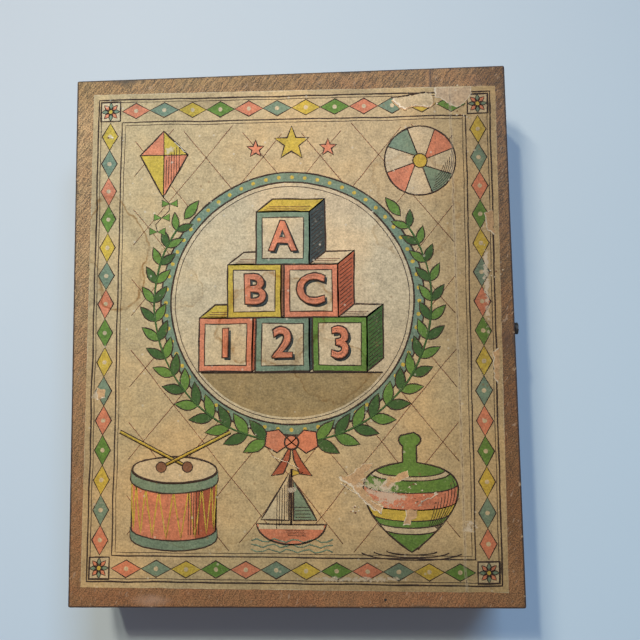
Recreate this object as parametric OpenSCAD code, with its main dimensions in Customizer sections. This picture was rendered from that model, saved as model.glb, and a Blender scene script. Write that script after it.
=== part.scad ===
// Wooden box with a set of alphabet cubes, closed, lid up.
// The origin is the centre of the underside. +Z is up, the hinges are on -X and the hook is on +X.

/* [Cubes] */
// Edge of one wooden cube
cube_edge = 40; // [30:0.5:50]
// Flat cut along each edge of a cube
cube_ease = 0.7; // [0.3:0.1:1.5]
// Total spare room across the box, shared between the cubes
play_across = 2; // [1:0.5:6]
// Total spare room along the box, shared between the cubes
play_along = 7; // [1:0.5:12]
// Room above the cubes when the lid is shut
headroom = 2.8; // [1:0.1:3.8]

/* [Boards] */
// Thickness of the walls and of the lid's rims
wall = 8; // [6:0.5:10]
// Thickness of the base board
base_t = 4; // [3:0.5:6]
// Thickness of the lid's top boards
top_t = 5; // [4:0.5:8]
// Height of the lid's rims below its top boards
rim_h = 11.8; // [10:0.1:16]
// Saw gap between the body and the shut lid
parting_gap = 0.2; // [0.2:0.05:0.5]
// Rounding of the four upright corners
corner_r = 1.6; // [0.8:0.1:3]
// Rounding of the lid's top edge and the base's bottom edge
edge_r = 0.8; // [0.3:0.1:1.2]
// Distance of the top's glue line from the lid's clasp side
narrow_board_w = 27; // [20:0.5:60]
// Comb fingers up a corner of the body
body_fingers = 5; // [3:1:7]
// Comb fingers up a corner of the lid's rims
rim_fingers = 2; // [2:1:4]

/* [Label] */
// Width of the pasted paper
label_w = 204; // [150:1:206]
// Length of the pasted paper
label_l = 245.5; // [180:0.5:250]
// Thickness of the pasted paper with its glue
label_t = 0.3; // [0.2:0.05:0.5]
// Turn of the paper on the lid, in degrees
label_turn = -0.7; // [-1:0.1:1]
// How far the paper lies off centre, towards the clasp
label_off_x = 0.6; // [-1.5:0.1:1.5]
// How far the paper lies off centre, towards the back
label_off_y = -0.3; // [-1.5:0.1:1.5]

/* [Nails] */
// Radius of a brad's shank
nail_r = 0.45; // [0.3:0.05:0.7]
// Radius of a brad's head
nail_head_r = 0.65; // [0.5:0.05:0.9]
// Height of a brad's head
nail_head_h = 0.5; // [0.3:0.05:0.8]
// Whole length of a brad
nail_l = 13; // [10:0.5:15]
// How deep the heads are punched below the wood
nail_sink = 0.4; // [0.2:0.05:0.8]
// Clearance of a brad or screw in its hole, on the radius
hole_gap = 0.03; // [0.02:0.01:0.05]

/* [Hinges] */
// Length of a hinge along the wall
hinge_l = 26; // [20:1:40]
// Width of a leaf, from the wall's outer face inwards
leaf_w = 6.8; // [5.5:0.1:7.4]
// Thickness of the leaf's sheet
leaf_t = 0.8; // [0.6:0.05:1]
// Outer radius of the knuckles
knuckle_r = 1.7; // [1.4:0.1:2.2]
// Radius of the hinge pin
hinge_pin_r = 0.75; // [0.5:0.05:0.9]
// Height of the pin's round heads beyond the knuckles
pin_head_h = 0.7; // [0.4:0.1:1.2]
// Radius of the pin's heads
pin_head_r = 1.25; // [1.1:0.05:1.35]
// Gap between neighbouring knuckles
knuckle_gap = 0.25; // [0.15:0.05:0.4]
// Clearance of a moving piece on its pin, on the radius
running_gap = 0.05; // [0.03:0.01:0.08]
// Clearance between a moving piece and what it passes
side_gap = 0.3; // [0.25:0.05:0.5]
// Clearance round a leaf in its mortise
mortise_gap = 0.1; // [0.05:0.05:0.2]
// Distance of a hinge's middle from the middle of the box
hinge_off = 82; // [60:1:100]
// Radius of a leaf screw's shank
screw_r = 0.95; // [0.7:0.05:1.2]
// Radius of a leaf screw's head
screw_head_r = 1.9; // [1.6:0.1:2.2]
// Depth of the cone under a leaf screw's head
screw_cone_h = 1; // [0.8:0.1:1.4]
// Length of a leaf screw
screw_l = 8; // [6:0.5:9]
// Distance of a leaf screw from the middle of its hinge
screw_off = 8.5; // [6:0.5:10]
// Width of the slot in a screw
slot_w = 0.45; // [0.3:0.05:0.6]
// Depth of the slot in a screw
slot_d = 0.35; // [0.2:0.05:0.5]

/* [Hook] */
// Thickness of the hook's iron sheet
hook_t = 1; // [0.8:0.1:1.5]
// Radius of the hook's eye
eye_r = 3.1; // [2.6:0.05:3.4]
// Width of the hook's arm
arm_w = 3; // [2.5:0.1:4]
// Distance from the pivot to the middle of the notch
hook_reach = 16; // [13:0.5:20]
// Radius of the hook's bill, round its notch
bill_r = 3.4; // [3.1:0.1:4]
// Distance from the middle of the notch to the finger knob
knob_reach = 5.2; // [4.8:0.1:6]
// Radius of the finger knob
knob_r = 1.6; // [1.2:0.1:2]
// Height of the pivot above the parting line
pivot_up = 8; // [5:0.1:8.4]
// Radius of the pivot screw's shank
pivot_r = 1.25; // [0.9:0.05:1.5]
// Radius of the pivot screw's head
pivot_head_r = 2.9; // [2.4:0.1:3.2]
// Height of the pivot screw's head
pivot_head_h = 1.6; // [1:0.1:2]
// Length of the pivot screw and of the catch stud in the wood
stud_in_wood = 6; // [5:0.5:7]
// Radius of the catch stud's shank
stud_r = 1.2; // [0.9:0.05:1.4]
// Radius of the catch stud's head
stud_head_r = 2.3; // [1.9:0.1:2.6]
// Height of the catch stud's head
stud_head_h = 1.2; // [0.8:0.1:1.6]
// Swing of the hook from hanging to hooked, in degrees
hooked_at = 25; // [24:1:40]

/* [Hidden] */
$fn = 48;
cube_cols = 5;
cube_rows = 6;
// Names of the cubes, row by row from the back, left to right
CUBES = [
  "cube_a", "cube_b", "cube_c", "cube_d", "cube_e",
  "cube_f", "cube_g", "cube_h", "cube_i", "cube_j",
  "cube_k", "cube_l", "cube_m", "cube_n", "cube_o",
  "cube_p", "cube_q", "cube_r", "cube_s", "cube_t",
  "cube_u", "cube_v", "cube_w", "cube_x", "cube_y",
  "cube_z", "cube_1", "cube_2", "cube_3", "cube_4"];

// Overrun of a cut beyond the face that it opens, and the usual half
cut = wall / 8;
half = 1 / 2;

// Inside and outside of the box
room_w = cube_cols * cube_edge + play_across;
room_l = cube_rows * cube_edge + play_along;
box_w = room_w + 2 * wall;
box_l = room_l + 2 * wall;
pitch_x = (room_w - cube_cols * cube_edge) / (cube_cols + 1) + cube_edge;
pitch_y = (room_l - cube_rows * cube_edge) / (cube_rows + 1) + cube_edge;

// Heights: the lid's underside, its rims' lower edge, the body's upper edge and the lid's top
ceiling_z = base_t + cube_edge + headroom;
rim_z = ceiling_z - rim_h;
parting_z = rim_z - parting_gap;
top_z = ceiling_z + top_t;
hinge_z = parting_z + parting_gap * half;

// Hinge axis, outside the wall
hinge_x = -box_w * half - knuckle_r - side_gap;
knuckle_count = 3;
knuckle_l = hinge_l / knuckle_count;
pin_bore_r = hinge_pin_r + running_gap;
leaf_x = -box_w * half + leaf_w * half;

// Hook and catch
pivot_z = rim_z + pivot_up;
eye_bore_r = pivot_r + running_gap;
hook_x = box_w * half + side_gap;
head_x = hook_x + hook_t + side_gap;
stud_y = hook_reach * sin(hooked_at);
stud_z = pivot_z - hook_reach * cos(hooked_at);
// The hook comes in on an arc, so its notch is wider than the stud by the arc's rise
notch_r = stud_r + side_gap + bill_r * bill_r * half / hook_reach * half;

// Places of the brads as shares of half the box, and along the middle of a wall
cross_nail_shares = [-0.8, -0.4, 0, 0.4, 0.8];
long_nail_shares = [-0.85, -0.5, -0.17, 0.17, 0.5, 0.85];
nail_line_x = (box_w - wall) * half;
nail_line_y = (box_l - wall) * half;
nail_places = concat(
  [for (s = cross_nail_shares, side = [-1, 1]) [s * box_w * half, side * nail_line_y]],
  [for (s = long_nail_shares, side = [-1, 1]) [side * nail_line_x, s * box_l * half]]);

wood = "#8a5f42";
cube_wood = "#c8a878";
paper = "#c4b084";
iron = "#3a3634";
brass = "#8f7a48";

// Flat shape of the box seen from above, its corners rounded
module plan(w, l) {
  square([w - 2 * corner_r, l], center = true);
  square([w, l - 2 * corner_r], center = true);
  for (x = [-1, 1], y = [-1, 1])
    translate([x * (w * half - corner_r), y * (l * half - corner_r)]) circle(r = corner_r);
}

// Cross-section of a board: flat below, its two upper edges rounded
module board_section(w, t, r) {
  translate([-w * half, 0]) square([w, t - r]);
  translate([-w * half + r, 0]) square([w - 2 * r, t]);
  for (x = [-1, 1]) translate([x * (w * half - r), t - r]) circle(r = r);
}

// Board the size of the box, lying from z = 0 up, its upper edges rounded
module panel(t, r) {
  intersection() {
    linear_extrude(t) plan(box_w, box_l);
    translate([0, box_l * half, 0]) rotate([90, 0, 0]) linear_extrude(box_l)
      board_section(box_w, t, r);
    translate([-box_w * half, 0, 0]) rotate([90, 0, 90]) linear_extrude(box_w)
      board_section(box_l, t, r);
  }
}

// One brad, head at z = 0, shank down
module brad(r, head_r, head_h, l) {
  translate([0, 0, -head_h]) cylinder(r = head_r, h = head_h);
  translate([0, 0, -l]) cylinder(r = r, h = l - head_h * half);
}

module lid_brads(gap) {
  for (p = nail_places) translate([p.x, p.y, top_z - nail_sink])
    brad(nail_r + gap, nail_head_r + gap, nail_head_h + gap, nail_l + gap);
}

module base_brads(gap) {
  for (p = nail_places) translate([p.x, p.y, nail_sink]) rotate([180, 0, 0])
    brad(nail_r + gap, nail_head_r + gap, nail_head_h + gap, nail_l + gap);
}

// Punched hollows above sunk heads, from the wood's face down to the heads
module lid_punches() {
  for (p = nail_places) translate([p.x, p.y, top_z - nail_sink - nail_head_h * half])
    cylinder(r = nail_head_r + hole_gap, h = nail_sink + nail_head_h);
}

module base_punches() {
  for (p = nail_places) translate([p.x, p.y, -nail_head_h * half])
    cylinder(r = nail_head_r + hole_gap, h = nail_sink + nail_head_h);
}

// Upright wall of the comb-jointed case, centred at the origin, running along X.
// Fingers whose number is odd or even, as asked, are cut away at both ends.
module comb_wall(run, h, fingers, cut_odd) {
  finger_h = h / fingers;
  difference() {
    translate([-run * half, -wall * half, 0]) cube([run, wall, h]);
    for (i = [0 : fingers - 1]) if (i % 2 == (cut_odd ? 1 : 0))
      for (x = [-1, 1]) {
        // A cut at the top or foot of the wall runs out of it
        below = i == 0 ? cut : 0;
        above = i == fingers - 1 ? cut : 0;
        translate([x * (run - wall + cut) * half - (wall + cut) * half,
                   -wall * half - cut, i * finger_h - below])
          cube([wall + cut, wall + 2 * cut, finger_h + below + above]);
      }
  }
}

module rounded_case(z, h) {
  translate([0, 0, z]) linear_extrude(h) plan(box_w, box_l);
}

// Front and back walls and rims run between the left and right faces of the box
module cross_wall(side, z, h, fingers, cut_odd) {
  intersection() {
    translate([0, side * nail_line_y, z]) comb_wall(box_w, h, fingers, cut_odd);
    rounded_case(z, h);
  }
}

// Hinge and clasp walls and rims run from front to back
module long_wall(side, z, h, fingers, cut_odd) {
  intersection() {
    translate([side * nail_line_x, 0, z]) rotate([0, 0, 90]) comb_wall(box_l, h, fingers, cut_odd);
    rounded_case(z, h);
  }
}

body_h = parting_z - base_t;

module base_board() color(wood) difference() {
  translate([0, 0, base_t]) mirror([0, 0, 1]) panel(base_t, edge_r * half);
  base_brads(hole_gap);
  base_punches();
}

module body_wall_cross(side) color(wood) difference() {
  cross_wall(side, base_t, body_h, body_fingers, true);
  base_brads(hole_gap);
}

module body_wall_hinge_side() color(wood) difference() {
  long_wall(-1, base_t, body_h, body_fingers, false);
  base_brads(hole_gap);
  for (side = [-1, 1]) {
    body_mortise(side);
    translate([0, side * hinge_off, 0]) leaf_screw_holes(-1);
  }
}

module body_wall_clasp_side() color(wood) difference() {
  long_wall(1, base_t, body_h, body_fingers, false);
  base_brads(hole_gap);
  catch_shank(hole_gap);
}

module base_nails() color(iron) base_brads(0);

module lid_rim_cross(side) color(wood) difference() {
  cross_wall(side, rim_z, rim_h, rim_fingers, false);
  lid_brads(hole_gap);
}

module lid_rim_hinge_side() color(wood) difference() {
  long_wall(-1, rim_z, rim_h, rim_fingers, true);
  lid_brads(hole_gap);
  for (side = [-1, 1]) {
    lid_mortise(side);
    translate([0, side * hinge_off, 0]) leaf_screw_holes(1);
  }
}

module lid_rim_clasp_side() color(wood) difference() {
  long_wall(1, rim_z, rim_h, rim_fingers, true);
  lid_brads(hole_gap);
  pivot_shank(hole_gap);
}

// Where the two top boards meet
glue_line_x = box_w * half - narrow_board_w;

module top_boards() difference() {
  translate([0, 0, ceiling_z]) panel(top_t, edge_r);
  lid_brads(hole_gap);
  lid_punches();
}

module beside_glue_line(from_x, to_x) {
  translate([from_x, -box_l * half - cut, ceiling_z - cut])
    cube([to_x - from_x, box_l + 2 * cut, top_t + 2 * cut]);
}

module lid_board_wide() color(wood) intersection() {
  top_boards();
  beside_glue_line(-box_w * half - cut, glue_line_x);
}

module lid_board_narrow() color(wood) intersection() {
  top_boards();
  beside_glue_line(glue_line_x, box_w * half + cut);
}

module lid_label() color(paper)
  translate([label_off_x, label_off_y, top_z]) rotate([0, 0, label_turn]) linear_extrude(label_t)
    square([label_w, label_l], center = true);

module lid_nails() color(iron) lid_brads(0);

// Leaf of a hinge: a sheet let into the wall, with knuckles outside it.
// Level is -1 for the body's leaf, below the parting line, and 1 for the lid's.
module leaf(side, level, own_knuckles) {
  sheet_z = hinge_z + (level < 0 ? -parting_gap * half - leaf_t : parting_gap * half);
  translate([0, side * hinge_off, 0]) difference() {
    union() {
      translate([-box_w * half, -hinge_l * half, sheet_z]) cube([leaf_w, hinge_l, leaf_t]);
      for (k = own_knuckles) {
        foot_y = -hinge_l * half + k * knuckle_l + (k == 0 ? 0 : knuckle_gap * half);
        foot_l = knuckle_l - (k == 1 ? knuckle_gap : knuckle_gap * half);
        translate([hinge_x, foot_y, sheet_z]) cube([-box_w * half - hinge_x, foot_l, leaf_t]);
        translate([hinge_x, foot_y, hinge_z]) rotate([-90, 0, 0]) cylinder(r = knuckle_r, h = foot_l);
      }
    }
    translate([hinge_x, -hinge_l * half - cut, hinge_z]) rotate([-90, 0, 0])
      cylinder(r = pin_bore_r, h = hinge_l + 2 * cut);
    leaf_screw_holes(level);
  }
}

// Two countersunk screws through a leaf, heads at the parting line
module leaf_screw_pair(level, gap) {
  for (y = [-1, 1])
    translate([leaf_x, y * screw_off, hinge_z + level * parting_gap * half])
      rotate([level < 0 ? 180 : 0, 0, 0]) {
        cylinder(r1 = screw_head_r + gap, r2 = screw_r + gap, h = screw_cone_h);
        cylinder(r = screw_r + gap, h = screw_l + gap);
      }
}

// Holes for the two screws, run out past the parting line
module leaf_screw_holes(level) {
  leaf_screw_pair(level, hole_gap);
  for (y = [-1, 1])
    translate([leaf_x, y * screw_off, hinge_z + level * (parting_gap - cut) * half - cut * half])
      cylinder(r = screw_head_r + hole_gap, h = cut);
}

// Slots across the heads of one leaf's screws
module screw_slots(level) {
  for (side = [-1, 1], y = [-1, 1])
    translate([leaf_x - slot_w * half, side * hinge_off + y * screw_off - screw_head_r - cut,
               hinge_z + level * (parting_gap + slot_d) * half - slot_d * half])
      cube([slot_w, 2 * (screw_head_r + cut), slot_d]);
}

module mortise(side, from_z, h) {
  translate([-box_w * half - cut, side * hinge_off - hinge_l * half - mortise_gap, from_z])
    cube([cut + leaf_w + mortise_gap, hinge_l + 2 * mortise_gap, h]);
}

module body_mortise(side) mortise(side, parting_z - leaf_t, leaf_t + cut);

module lid_mortise(side) mortise(side, rim_z - cut, leaf_t + cut);

module hinge_body_leaf(side) color(brass) leaf(side, -1, [0, 2]);

module hinge_lid_leaf(side) color(brass) leaf(side, 1, [1]);

// Pin with a round head at each end, a little proud of the knuckles
module hinge_pin(side) color(brass) translate([hinge_x, side * hinge_off, hinge_z]) {
  translate([0, -hinge_l * half - pin_head_h * half, 0]) rotate([-90, 0, 0])
    cylinder(r = hinge_pin_r, h = hinge_l + pin_head_h);
  for (end = [-1, 1])
    translate([0, end * (hinge_l + pin_head_h) * half, 0]) rotate([90, 0, 0])
      cylinder(r = pin_head_r, h = pin_head_h, center = true);
}

module leaf_screws(level) color(iron) difference() {
  for (side = [-1, 1]) translate([0, side * hinge_off, 0]) leaf_screw_pair(level, 0);
  screw_slots(level);
}

// Swing hook of iron sheet, hanging from its eye, its notch open towards +Y
module swing_hook() color(iron)
  translate([hook_x, 0, pivot_z]) rotate([90, 0, 90]) linear_extrude(hook_t)
    difference() {
      union() {
        circle(r = eye_r);
        translate([-arm_w * half, -hook_reach - knob_reach]) square([arm_w, hook_reach + knob_reach]);
        translate([0, -hook_reach]) circle(r = bill_r);
        translate([0, -hook_reach - knob_reach]) circle(r = knob_r);
      }
      circle(r = eye_bore_r);
      translate([0, -hook_reach]) circle(r = notch_r);
      translate([0, -hook_reach - notch_r]) square([bill_r + cut, 2 * notch_r]);
    }

// Shank of the pivot screw, from inside the rim to under its head
module pivot_shank(gap) {
  translate([box_w * half - stud_in_wood - gap, 0, pivot_z]) rotate([0, 90, 0])
    cylinder(r = pivot_r + gap, h = stud_in_wood + gap + side_gap + hook_t + side_gap + pivot_head_h * half);
}

module hook_pivot_screw() color(iron) difference() {
  union() {
    pivot_shank(0);
    translate([head_x, 0, pivot_z]) rotate([0, 90, 0]) cylinder(r = pivot_head_r, h = pivot_head_h);
  }
  translate([head_x + pivot_head_h - slot_d, -slot_w * half, pivot_z - pivot_head_r - cut])
    cube([slot_d + cut, slot_w, 2 * (pivot_head_r + cut)]);
}

module catch_shank(gap) {
  translate([box_w * half - stud_in_wood - gap, stud_y, stud_z]) rotate([0, 90, 0])
    cylinder(r = stud_r + gap, h = stud_in_wood + gap + side_gap + hook_t + side_gap + stud_head_h * half);
}

// Round-headed stud that the hook's notch drops over
module catch_stud() color(iron) union() {
  catch_shank(0);
  translate([head_x, stud_y, stud_z]) rotate([0, 90, 0])
    cylinder(r1 = stud_head_r, r2 = stud_r, h = stud_head_h);
}

// Square with its corners cut, for one of a cube's three directions
module eased_square() {
  in = cube_edge * half - cube_ease;
  out = cube_edge * half;
  polygon([[-in, -out], [in, -out], [out, -in], [out, in], [in, out], [-in, out], [-out, in], [-out, -in]]);
}

// One wooden cube, numbered from 0, standing on the base board
module letter_cube(i) {
  col = i % cube_cols;
  row = floor(i / cube_cols);
  color(cube_wood)
    translate([(col - (cube_cols - 1) * half) * pitch_x, ((cube_rows - 1) * half - row) * pitch_y,
               base_t + cube_edge * half])
      intersection() {
        linear_extrude(cube_edge, center = true) eased_square();
        rotate([90, 0, 0]) linear_extrude(cube_edge, center = true) eased_square();
        rotate([0, 90, 0]) linear_extrude(cube_edge, center = true) eased_square();
      }
}

base_board();
body_wall_cross(-1);  // body_wall_front
body_wall_cross(1);  // body_wall_back
body_wall_hinge_side();
body_wall_clasp_side();
base_nails();
lid_rim_cross(-1);  // lid_rim_front
lid_rim_cross(1);  // lid_rim_back
lid_rim_hinge_side();
lid_rim_clasp_side();
lid_board_wide();
lid_board_narrow();
lid_label();
lid_nails();
hinge_body_leaf(-1);  // front_hinge_body_leaf
hinge_lid_leaf(-1);  // front_hinge_lid_leaf
hinge_pin(-1);  // front_hinge_pin
hinge_body_leaf(1);  // back_hinge_body_leaf
hinge_lid_leaf(1);  // back_hinge_lid_leaf
hinge_pin(1);  // back_hinge_pin
leaf_screws(-1);  // body_leaf_screws
leaf_screws(1);  // lid_leaf_screws
swing_hook();
hook_pivot_screw();
catch_stud();
for (i = [0 : len(CUBES) - 1])
  letter_cube(i);
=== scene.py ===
"""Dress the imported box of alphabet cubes: old wood, pasted paper, plain prints, brass and iron."""
import math
import random
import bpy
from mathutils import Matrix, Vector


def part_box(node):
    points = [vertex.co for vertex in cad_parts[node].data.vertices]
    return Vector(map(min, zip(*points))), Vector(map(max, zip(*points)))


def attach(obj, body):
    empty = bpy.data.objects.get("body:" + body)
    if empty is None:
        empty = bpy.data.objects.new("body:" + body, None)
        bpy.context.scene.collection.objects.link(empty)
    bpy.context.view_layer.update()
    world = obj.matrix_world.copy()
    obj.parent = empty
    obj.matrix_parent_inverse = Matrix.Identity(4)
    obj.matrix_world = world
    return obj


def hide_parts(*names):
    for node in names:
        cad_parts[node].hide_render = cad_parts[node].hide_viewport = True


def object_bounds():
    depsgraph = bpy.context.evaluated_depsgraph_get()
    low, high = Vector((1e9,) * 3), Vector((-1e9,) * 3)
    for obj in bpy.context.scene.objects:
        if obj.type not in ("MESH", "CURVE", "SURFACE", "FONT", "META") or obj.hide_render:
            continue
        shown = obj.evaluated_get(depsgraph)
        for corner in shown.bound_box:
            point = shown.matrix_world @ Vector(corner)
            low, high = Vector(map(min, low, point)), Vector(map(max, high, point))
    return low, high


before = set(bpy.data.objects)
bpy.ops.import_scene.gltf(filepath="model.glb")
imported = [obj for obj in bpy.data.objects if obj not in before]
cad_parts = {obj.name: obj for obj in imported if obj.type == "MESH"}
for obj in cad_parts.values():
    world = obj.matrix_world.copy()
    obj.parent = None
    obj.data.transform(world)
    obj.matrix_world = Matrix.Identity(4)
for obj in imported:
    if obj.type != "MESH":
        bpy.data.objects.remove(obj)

from copy import copy
from functools import reduce

import bmesh
import bpy
from bpy.props import FloatProperty, FloatVectorProperty, PointerProperty
from mathutils import Matrix, Vector, noise

bl_info = {
    "name": "Boxed Alphabet Cubes",
    "version": (1, 0, 0),
    "blender": (4, 5, 0),
    "location": "View3D > Sidebar > Cube Box",
    "description": "Finishes and paper for an old wooden box of alphabet cubes",
    "category": "Object",
}

MM = 0.001
CAD_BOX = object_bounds()
WIDE_BOARD_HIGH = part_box("lid_board_wide")[1]
SEAM_X = WIDE_BOARD_HIGH.x / MM
BOARD_TOP = WIDE_BOARD_HIGH.z / MM
BOX_HALF_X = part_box("base_board")[1].x / MM
BOX_HALF_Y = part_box("base_board")[1].y / MM
LABEL_LOW, LABEL_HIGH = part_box("lid_label")
LABEL_TURN = math.radians(-0.7)

LETTERS = "abcdefghijklmnopqrstuvwxyz1234"
LID_WOOD = ("lid_board_wide", "lid_board_narrow")
CROSS_WOOD = tuple(f"{board}_{end}" for board in ("body_wall", "lid_rim") for end in ("front", "back"))
LONG_WOOD = ("base_board", *(f"{board}_{side}_side" for board in ("body_wall", "lid_rim")
                             for side in ("hinge", "clasp")))
BRASS_NODES = tuple(f"{end}_hinge_{part}" for end in ("front", "back")
                    for part in ("body_leaf", "lid_leaf", "pin"))
IRON_NODES = ("swing_hook", "hook_pivot_screw", "catch_stud")
SCREW_NODES = ("body_leaf_screws", "lid_leaf_screws")
NAIL_NODES = ("base_nails", "lid_nails")


def colour_prop(name, description, default):
    """A colour that the user can change."""
    return FloatVectorProperty(name=name, description=description, default=default,
                               size=3, min=0.0, max=1.0, subtype="COLOR")


def length_prop(name, description, default, low, high):
    """A length that the user can change, given in millimetres."""
    return FloatProperty(name=name, description=description, default=default * MM,
                         min=low * MM, max=high * MM, unit="LENGTH")


class CubeBoxInks(bpy.types.PropertyGroup):
    """Colours of the printed inks."""
    tan: colour_prop("Tan", "Ground of the label", (0.435, 0.328, 0.178))
    cream: colour_prop("Cream", "Unprinted paper", (0.465, 0.375, 0.235))
    red: colour_prop("Red", "Vermilion", (0.500, 0.180, 0.098))
    dark_red: colour_prop("Dark red", "Shaded side of red", (0.300, 0.082, 0.040))
    teal: colour_prop("Teal", "Grey green", (0.148, 0.205, 0.140))
    pale_teal: colour_prop("Pale teal", "Lit side of teal", (0.235, 0.290, 0.195))
    green: colour_prop("Green", "Leaf green", (0.105, 0.190, 0.036))
    dark_green: colour_prop("Dark green", "Shaded side of green", (0.045, 0.092, 0.024))
    yellow: colour_prop("Yellow", "Ochre yellow", (0.450, 0.325, 0.052))
    brown: colour_prop("Brown", "Leather brown", (0.185, 0.086, 0.045))
    ground: colour_prop("Khaki", "Khaki ground", (0.275, 0.195, 0.090))
    line: colour_prop("Line", "Outlines", (0.042, 0.024, 0.016))
    slate: colour_prop("Slate", "Blue black", (0.036, 0.047, 0.046))
    bare: colour_prop("Bare", "Core of the paper where it is torn", (0.480, 0.315, 0.170))
    crumb: colour_prop("Crumb", "Pale fibres at a torn edge", (0.590, 0.520, 0.400))
    torn_skin: colour_prop("Torn skin", "Where the paper's printed skin is gone", (0.475, 0.365, 0.250))


class CubeBoxFinish(bpy.types.PropertyGroup):
    """Sizes and colours of the finish."""
    wood: colour_prop("Wood", "Red brown of the boards", (0.240, 0.113, 0.045))
    # Painted light, partly real fading: the colour of the lid's lighter back and left
    sunned_and_lit_wood: colour_prop("Faded wood", "Where light has bleached the lid", (0.300, 0.190, 0.092))
    wood_dark: colour_prop("Dark wood", "The lid's narrow board", (0.143, 0.067, 0.025))
    cube_wood: colour_prop("Cube wood", "Bare edges of the cubes", (0.520, 0.360, 0.190))
    paper: colour_prop("Paper", "Edge and back of the label", (0.490, 0.405, 0.262))
    torn: colour_prop("Torn paper", "Where the print is rubbed away", (0.520, 0.440, 0.330))
    brass: colour_prop("Brass", "Hinges", (0.300, 0.205, 0.085))
    iron: colour_prop("Iron", "Hook, studs and brads", (0.050, 0.044, 0.040))
    steel: colour_prop("Steel", "Leaf screws", (0.210, 0.190, 0.165))
    rust: colour_prop("Rust", "On iron and steel", (0.120, 0.048, 0.022))
    floor: colour_prop("Table", "Pale table", (0.530, 0.612, 0.680))
    line_width: length_prop("Line", "Width of a printed outline", 0.82, 0.2, 2)
    paper_thick: length_prop("Paper", "Thickness of the label's paper", 0.08, 0.02, 0.2)
    ink_step: length_prop("Ink step", "Rise from one layer of print to the next", 0.009, 0.002, 0.02)
    waver: length_prop("Waver", "How far hand-drawn lines stray", 0.45, 0.0, 2)


class CubeBoxLight(bpy.types.PropertyGroup):
    """Lamps of the stage, each as its share of the light on the lid's middle."""
    warm_share: colour_prop("Warm lamp", "Share of the lamp at the back left", (0.205, 0.197, 0.152))
    low_share: colour_prop("Low lamp", "Share of the tall lamp at the back", (0.511, 0.458, 0.369))
    cool_share: colour_prop("Cool lamp", "Share of the wide lamp at the back right", (0.194, 0.298, 0.433))
    sky_share: colour_prop("Sky", "Share of the light from all round", (0.143, 0.130, 0.143))
    background: colour_prop("Background", "What shows beyond the table", (0.56, 0.63, 0.69))


# Shader kit


def arithmetic(operation, swapped=False):
    """A method that adds a Math node of a flow and another value."""
    def method(flow, other):
        return flow.math(operation, *((other, flow) if swapped else (flow, other)))
    return method


class Flow:
    """A shader socket whose arithmetic adds Math nodes."""

    def __init__(self, graph, socket):
        self.graph = graph
        self.socket = socket

    def math(self, operation, *values):
        """A Math node of the given values."""
        return self.graph.add("ShaderNodeMath", dict(enumerate(values)), operation=operation)

    def __abs__(self):
        return self.math("ABSOLUTE", self)

    __add__, __radd__ = arithmetic("ADD"), arithmetic("ADD", True)
    __sub__, __rsub__ = arithmetic("SUBTRACT"), arithmetic("SUBTRACT", True)
    __mul__, __rmul__ = arithmetic("MULTIPLY"), arithmetic("MULTIPLY", True)
    __truediv__, __rtruediv__ = arithmetic("DIVIDE"), arithmetic("DIVIDE", True)
    least, most = arithmetic("MINIMUM"), arithmetic("MAXIMUM")


class Graph:
    """A node tree and the one method that adds nodes to it."""

    def __init__(self, tree):
        self.tree = tree

    def add(self, kind, sockets=None, out=0, **settings):
        """A node of any kind: its settings first, then the values or links of its sockets."""
        node = self.tree.nodes.new(kind)
        for key, value in settings.items():
            setattr(node, key, value)
        for key, value in (sockets or {}).items():
            if isinstance(value, Flow):
                self.tree.links.new(value.socket, node.inputs[key])
            else:
                node.inputs[key].default_value = value
        return Flow(self, node.outputs[out])

    def found(self, name):
        """The first output of a node that the tree has from the start."""
        return Flow(self, self.tree.nodes[name].outputs[0])

    def shown(self, name, surface):
        """Links a surface to the tree's output node."""
        self.tree.links.new(surface.socket, self.tree.nodes[name].inputs["Surface"])


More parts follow.
